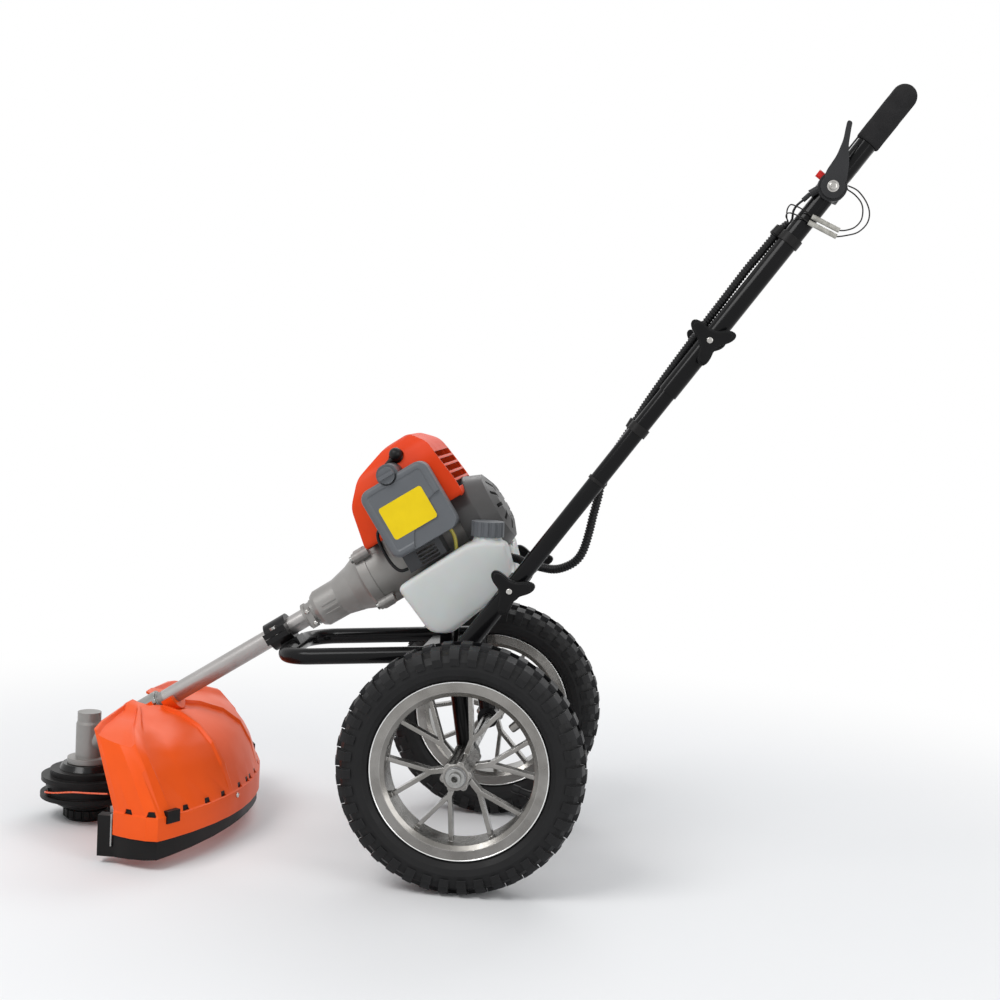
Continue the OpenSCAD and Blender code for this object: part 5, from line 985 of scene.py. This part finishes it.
# The paler tread is partly wear and partly a painted sheen on the lugs; the bright lug edges are
# painted highlights.
finish("tyre_rubber", (0.0085, 0.0085, 0.0088), (0.0125, 0.0125, 0.013), 0.55, 0.10, 700, 30, 0.12,
       edge_wear_glint=(0.06, 0.06, 0.063), wear_glint_share=0.9, dusty=0.01,
       over=(ring, "Outward", 0.8, (0.022, 0.0222, 0.0235), {"Inner": 0.146, "Outer": 0.158}),
       shine=0.2)
finish("grip_foam", (0.020, 0.0195, 0.020), (0.027, 0.0265, 0.027), 0.9, 0.05, 2600, 60, 0.45,
       dusty=0.008, shine=0.08)
finish("filter_foam", (0.10, 0.10, 0.10), (0.07, 0.07, 0.07), 0.9, 0.05, 1500, 50, 0.5, shine=0.1)
print("finishes:", len(materials))

# %% [markdown]
# ## Putting the finishes on
# Each CAD node takes the finish of its material slot in the record, apart from a few engine and
# throttle pieces whose moulding has a tone of its own. Each new piece takes the finish noted when
# it was made.

# %% Assign
def put_on(piece, name):
    """Gives a piece one finish all over."""
    if piece.data.materials:
        for i in range(len(piece.data.materials)):
            piece.data.materials[i] = materials[name]
    else:
        piece.data.materials.append(materials[name])


own_finish = {"cylinder": "dark_alloy", "filter_base": "dark_plastic",
              "starter_housing": "housing_plastic", "throttle_housing": "lever_plastic",
              "throttle_lever": "lever_plastic"}
for part in record["subparts"]:
    put_on(nodes[part["node"]], own_finish.get(part["node"], part["material_slot"]))
for name, finish_name in finish_of.items():
    put_on(bpy.data.objects[name], finish_name)
cord_finish = {"cutting_line": "line_nylon", "engine_cable": "black_rubber",
               "fuel_pipe": "yellow_tube"}
for name, piece in cord_pieces.items():
    finish_name = cord_finish.get(name, "wire_cover")
    put_on(piece, finish_name)
for hose in (upper_hose, lower_hose):
    put_on(hose, "hose_plastic")
print("dressed", len(nodes), "nodes")

# %% [markdown]
# ## Floor and light
# The floor is a large pale sheet. Near the machine it is plain and takes its shadow; further out it
# melts into the white of the room, so no horizon shows. More light would make it white too, but it
# would wash out the machine. The light is a soft room with three broad lamps, kept at a level where
# colours look as they are written.

# %% White for the eye only
def seen_mask(tree):
    """A node whose Value is 1 for rays from the camera, off gloss and through glass. They see
    the white, but it gives no light."""
    rays = node(tree, "ShaderNodeLightPath")
    mask, out = rays, "Is Camera Ray"
    for label in ("Is Glossy Ray", "Is Transmission Ray"):
        either = node(tree, "ShaderNodeMath", operation="MAXIMUM")
        wire(tree, (mask, out, either, 0), (rays, label, either, 1))
        mask, out = either, "Value"
    return mask


def mix_shaders(tree, factor, under, over, output):
    """Ends a tree in one shader over another, by the Value of a factor node."""
    mix = node(tree, "ShaderNodeMixShader")
    wire(tree, (factor, "Value", mix, "Fac"), (under, 0, mix, 1), (over, 0, mix, 2),
         (mix, "Shader", tree.nodes[output], "Surface"))


# %% Floor
FLOOR_HALF, NEAR, FAR = 30.0, 0.6, 1.6
sheet = bmesh.new()
bmesh.ops.create_grid(sheet, x_segments=1, y_segments=1, size=FLOOR_HALF)
floor = as_object(sheet, "floor")
ground = bpy.data.materials.new("floor_white")
ground.use_nodes = True
tree = ground.node_tree
base = tree.nodes["Principled BSDF"]
base.inputs["Base Color"].default_value = (0.86, 0.86, 0.86, 1)
base.inputs["Roughness"].default_value = 0.8
base.inputs["Specular IOR Level"].default_value = 0.2
glow = node(tree, "ShaderNodeEmission", Color=(1, 1, 1, 1), Strength=1.0)
where = node(tree, "ShaderNodeTexCoord")
far = node(tree, "ShaderNodeVectorMath", operation="LENGTH")
fade = node(tree, "ShaderNodeMapRange", interpolation_type="SMOOTHSTEP",
            From_Min=NEAR, From_Max=FAR)
shown = node(tree, "ShaderNodeMath", operation="MULTIPLY")
wire(tree, (where, "Object", far, 0), (far, "Value", fade, "Value"), (fade, "Result", shown, 0),
     (seen_mask(tree), "Value", shown, 1))
mix_shaders(tree, shown, base, glow, "Material Output")
floor.data.materials.append(ground)
print("floor fades to white from", NEAR, "to", FAR)

# %% Room and lamps
world = bpy.data.worlds.new("room")
scene.world = world
world.use_nodes = True
tree = world.node_tree
soft = tree.nodes["Background"]
soft.inputs["Color"].default_value = (0.80, 0.82, 0.85, 1)
soft.inputs["Strength"].default_value = 0.70
white = node(tree, "ShaderNodeBackground", Color=(1, 1, 1, 1), Strength=1.0)
mix_shaders(tree, seen_mask(tree), soft, white, "World Output")


def lamp(name, place, target, size, power):
    """A broad area lamp that points at a target."""
    light = bpy.data.lights.new(name, "AREA")
    light.shape = "RECTANGLE"
    light.size, light.size_y = size
    light.energy = power
    made = linked(name, light)
    made.location = place
    made.rotation_euler = (Vector(target) - Vector(place)).to_track_quat("-Z", "Y").to_euler()


lamp("key", (-1.4, -1.8, 2.6), (0, 0, 0.3), (1.6, 1.2), 44)
lamp("fill", (2.2, -2.0, 1.3), (0.1, 0, 0.4), (1.4, 1.8), 20)
lamp("back", (0.3, 2.2, 2.4), (0, 0, 0.4), (2.2, 1.0), 24)
print("lamps:", len(bpy.data.lights))
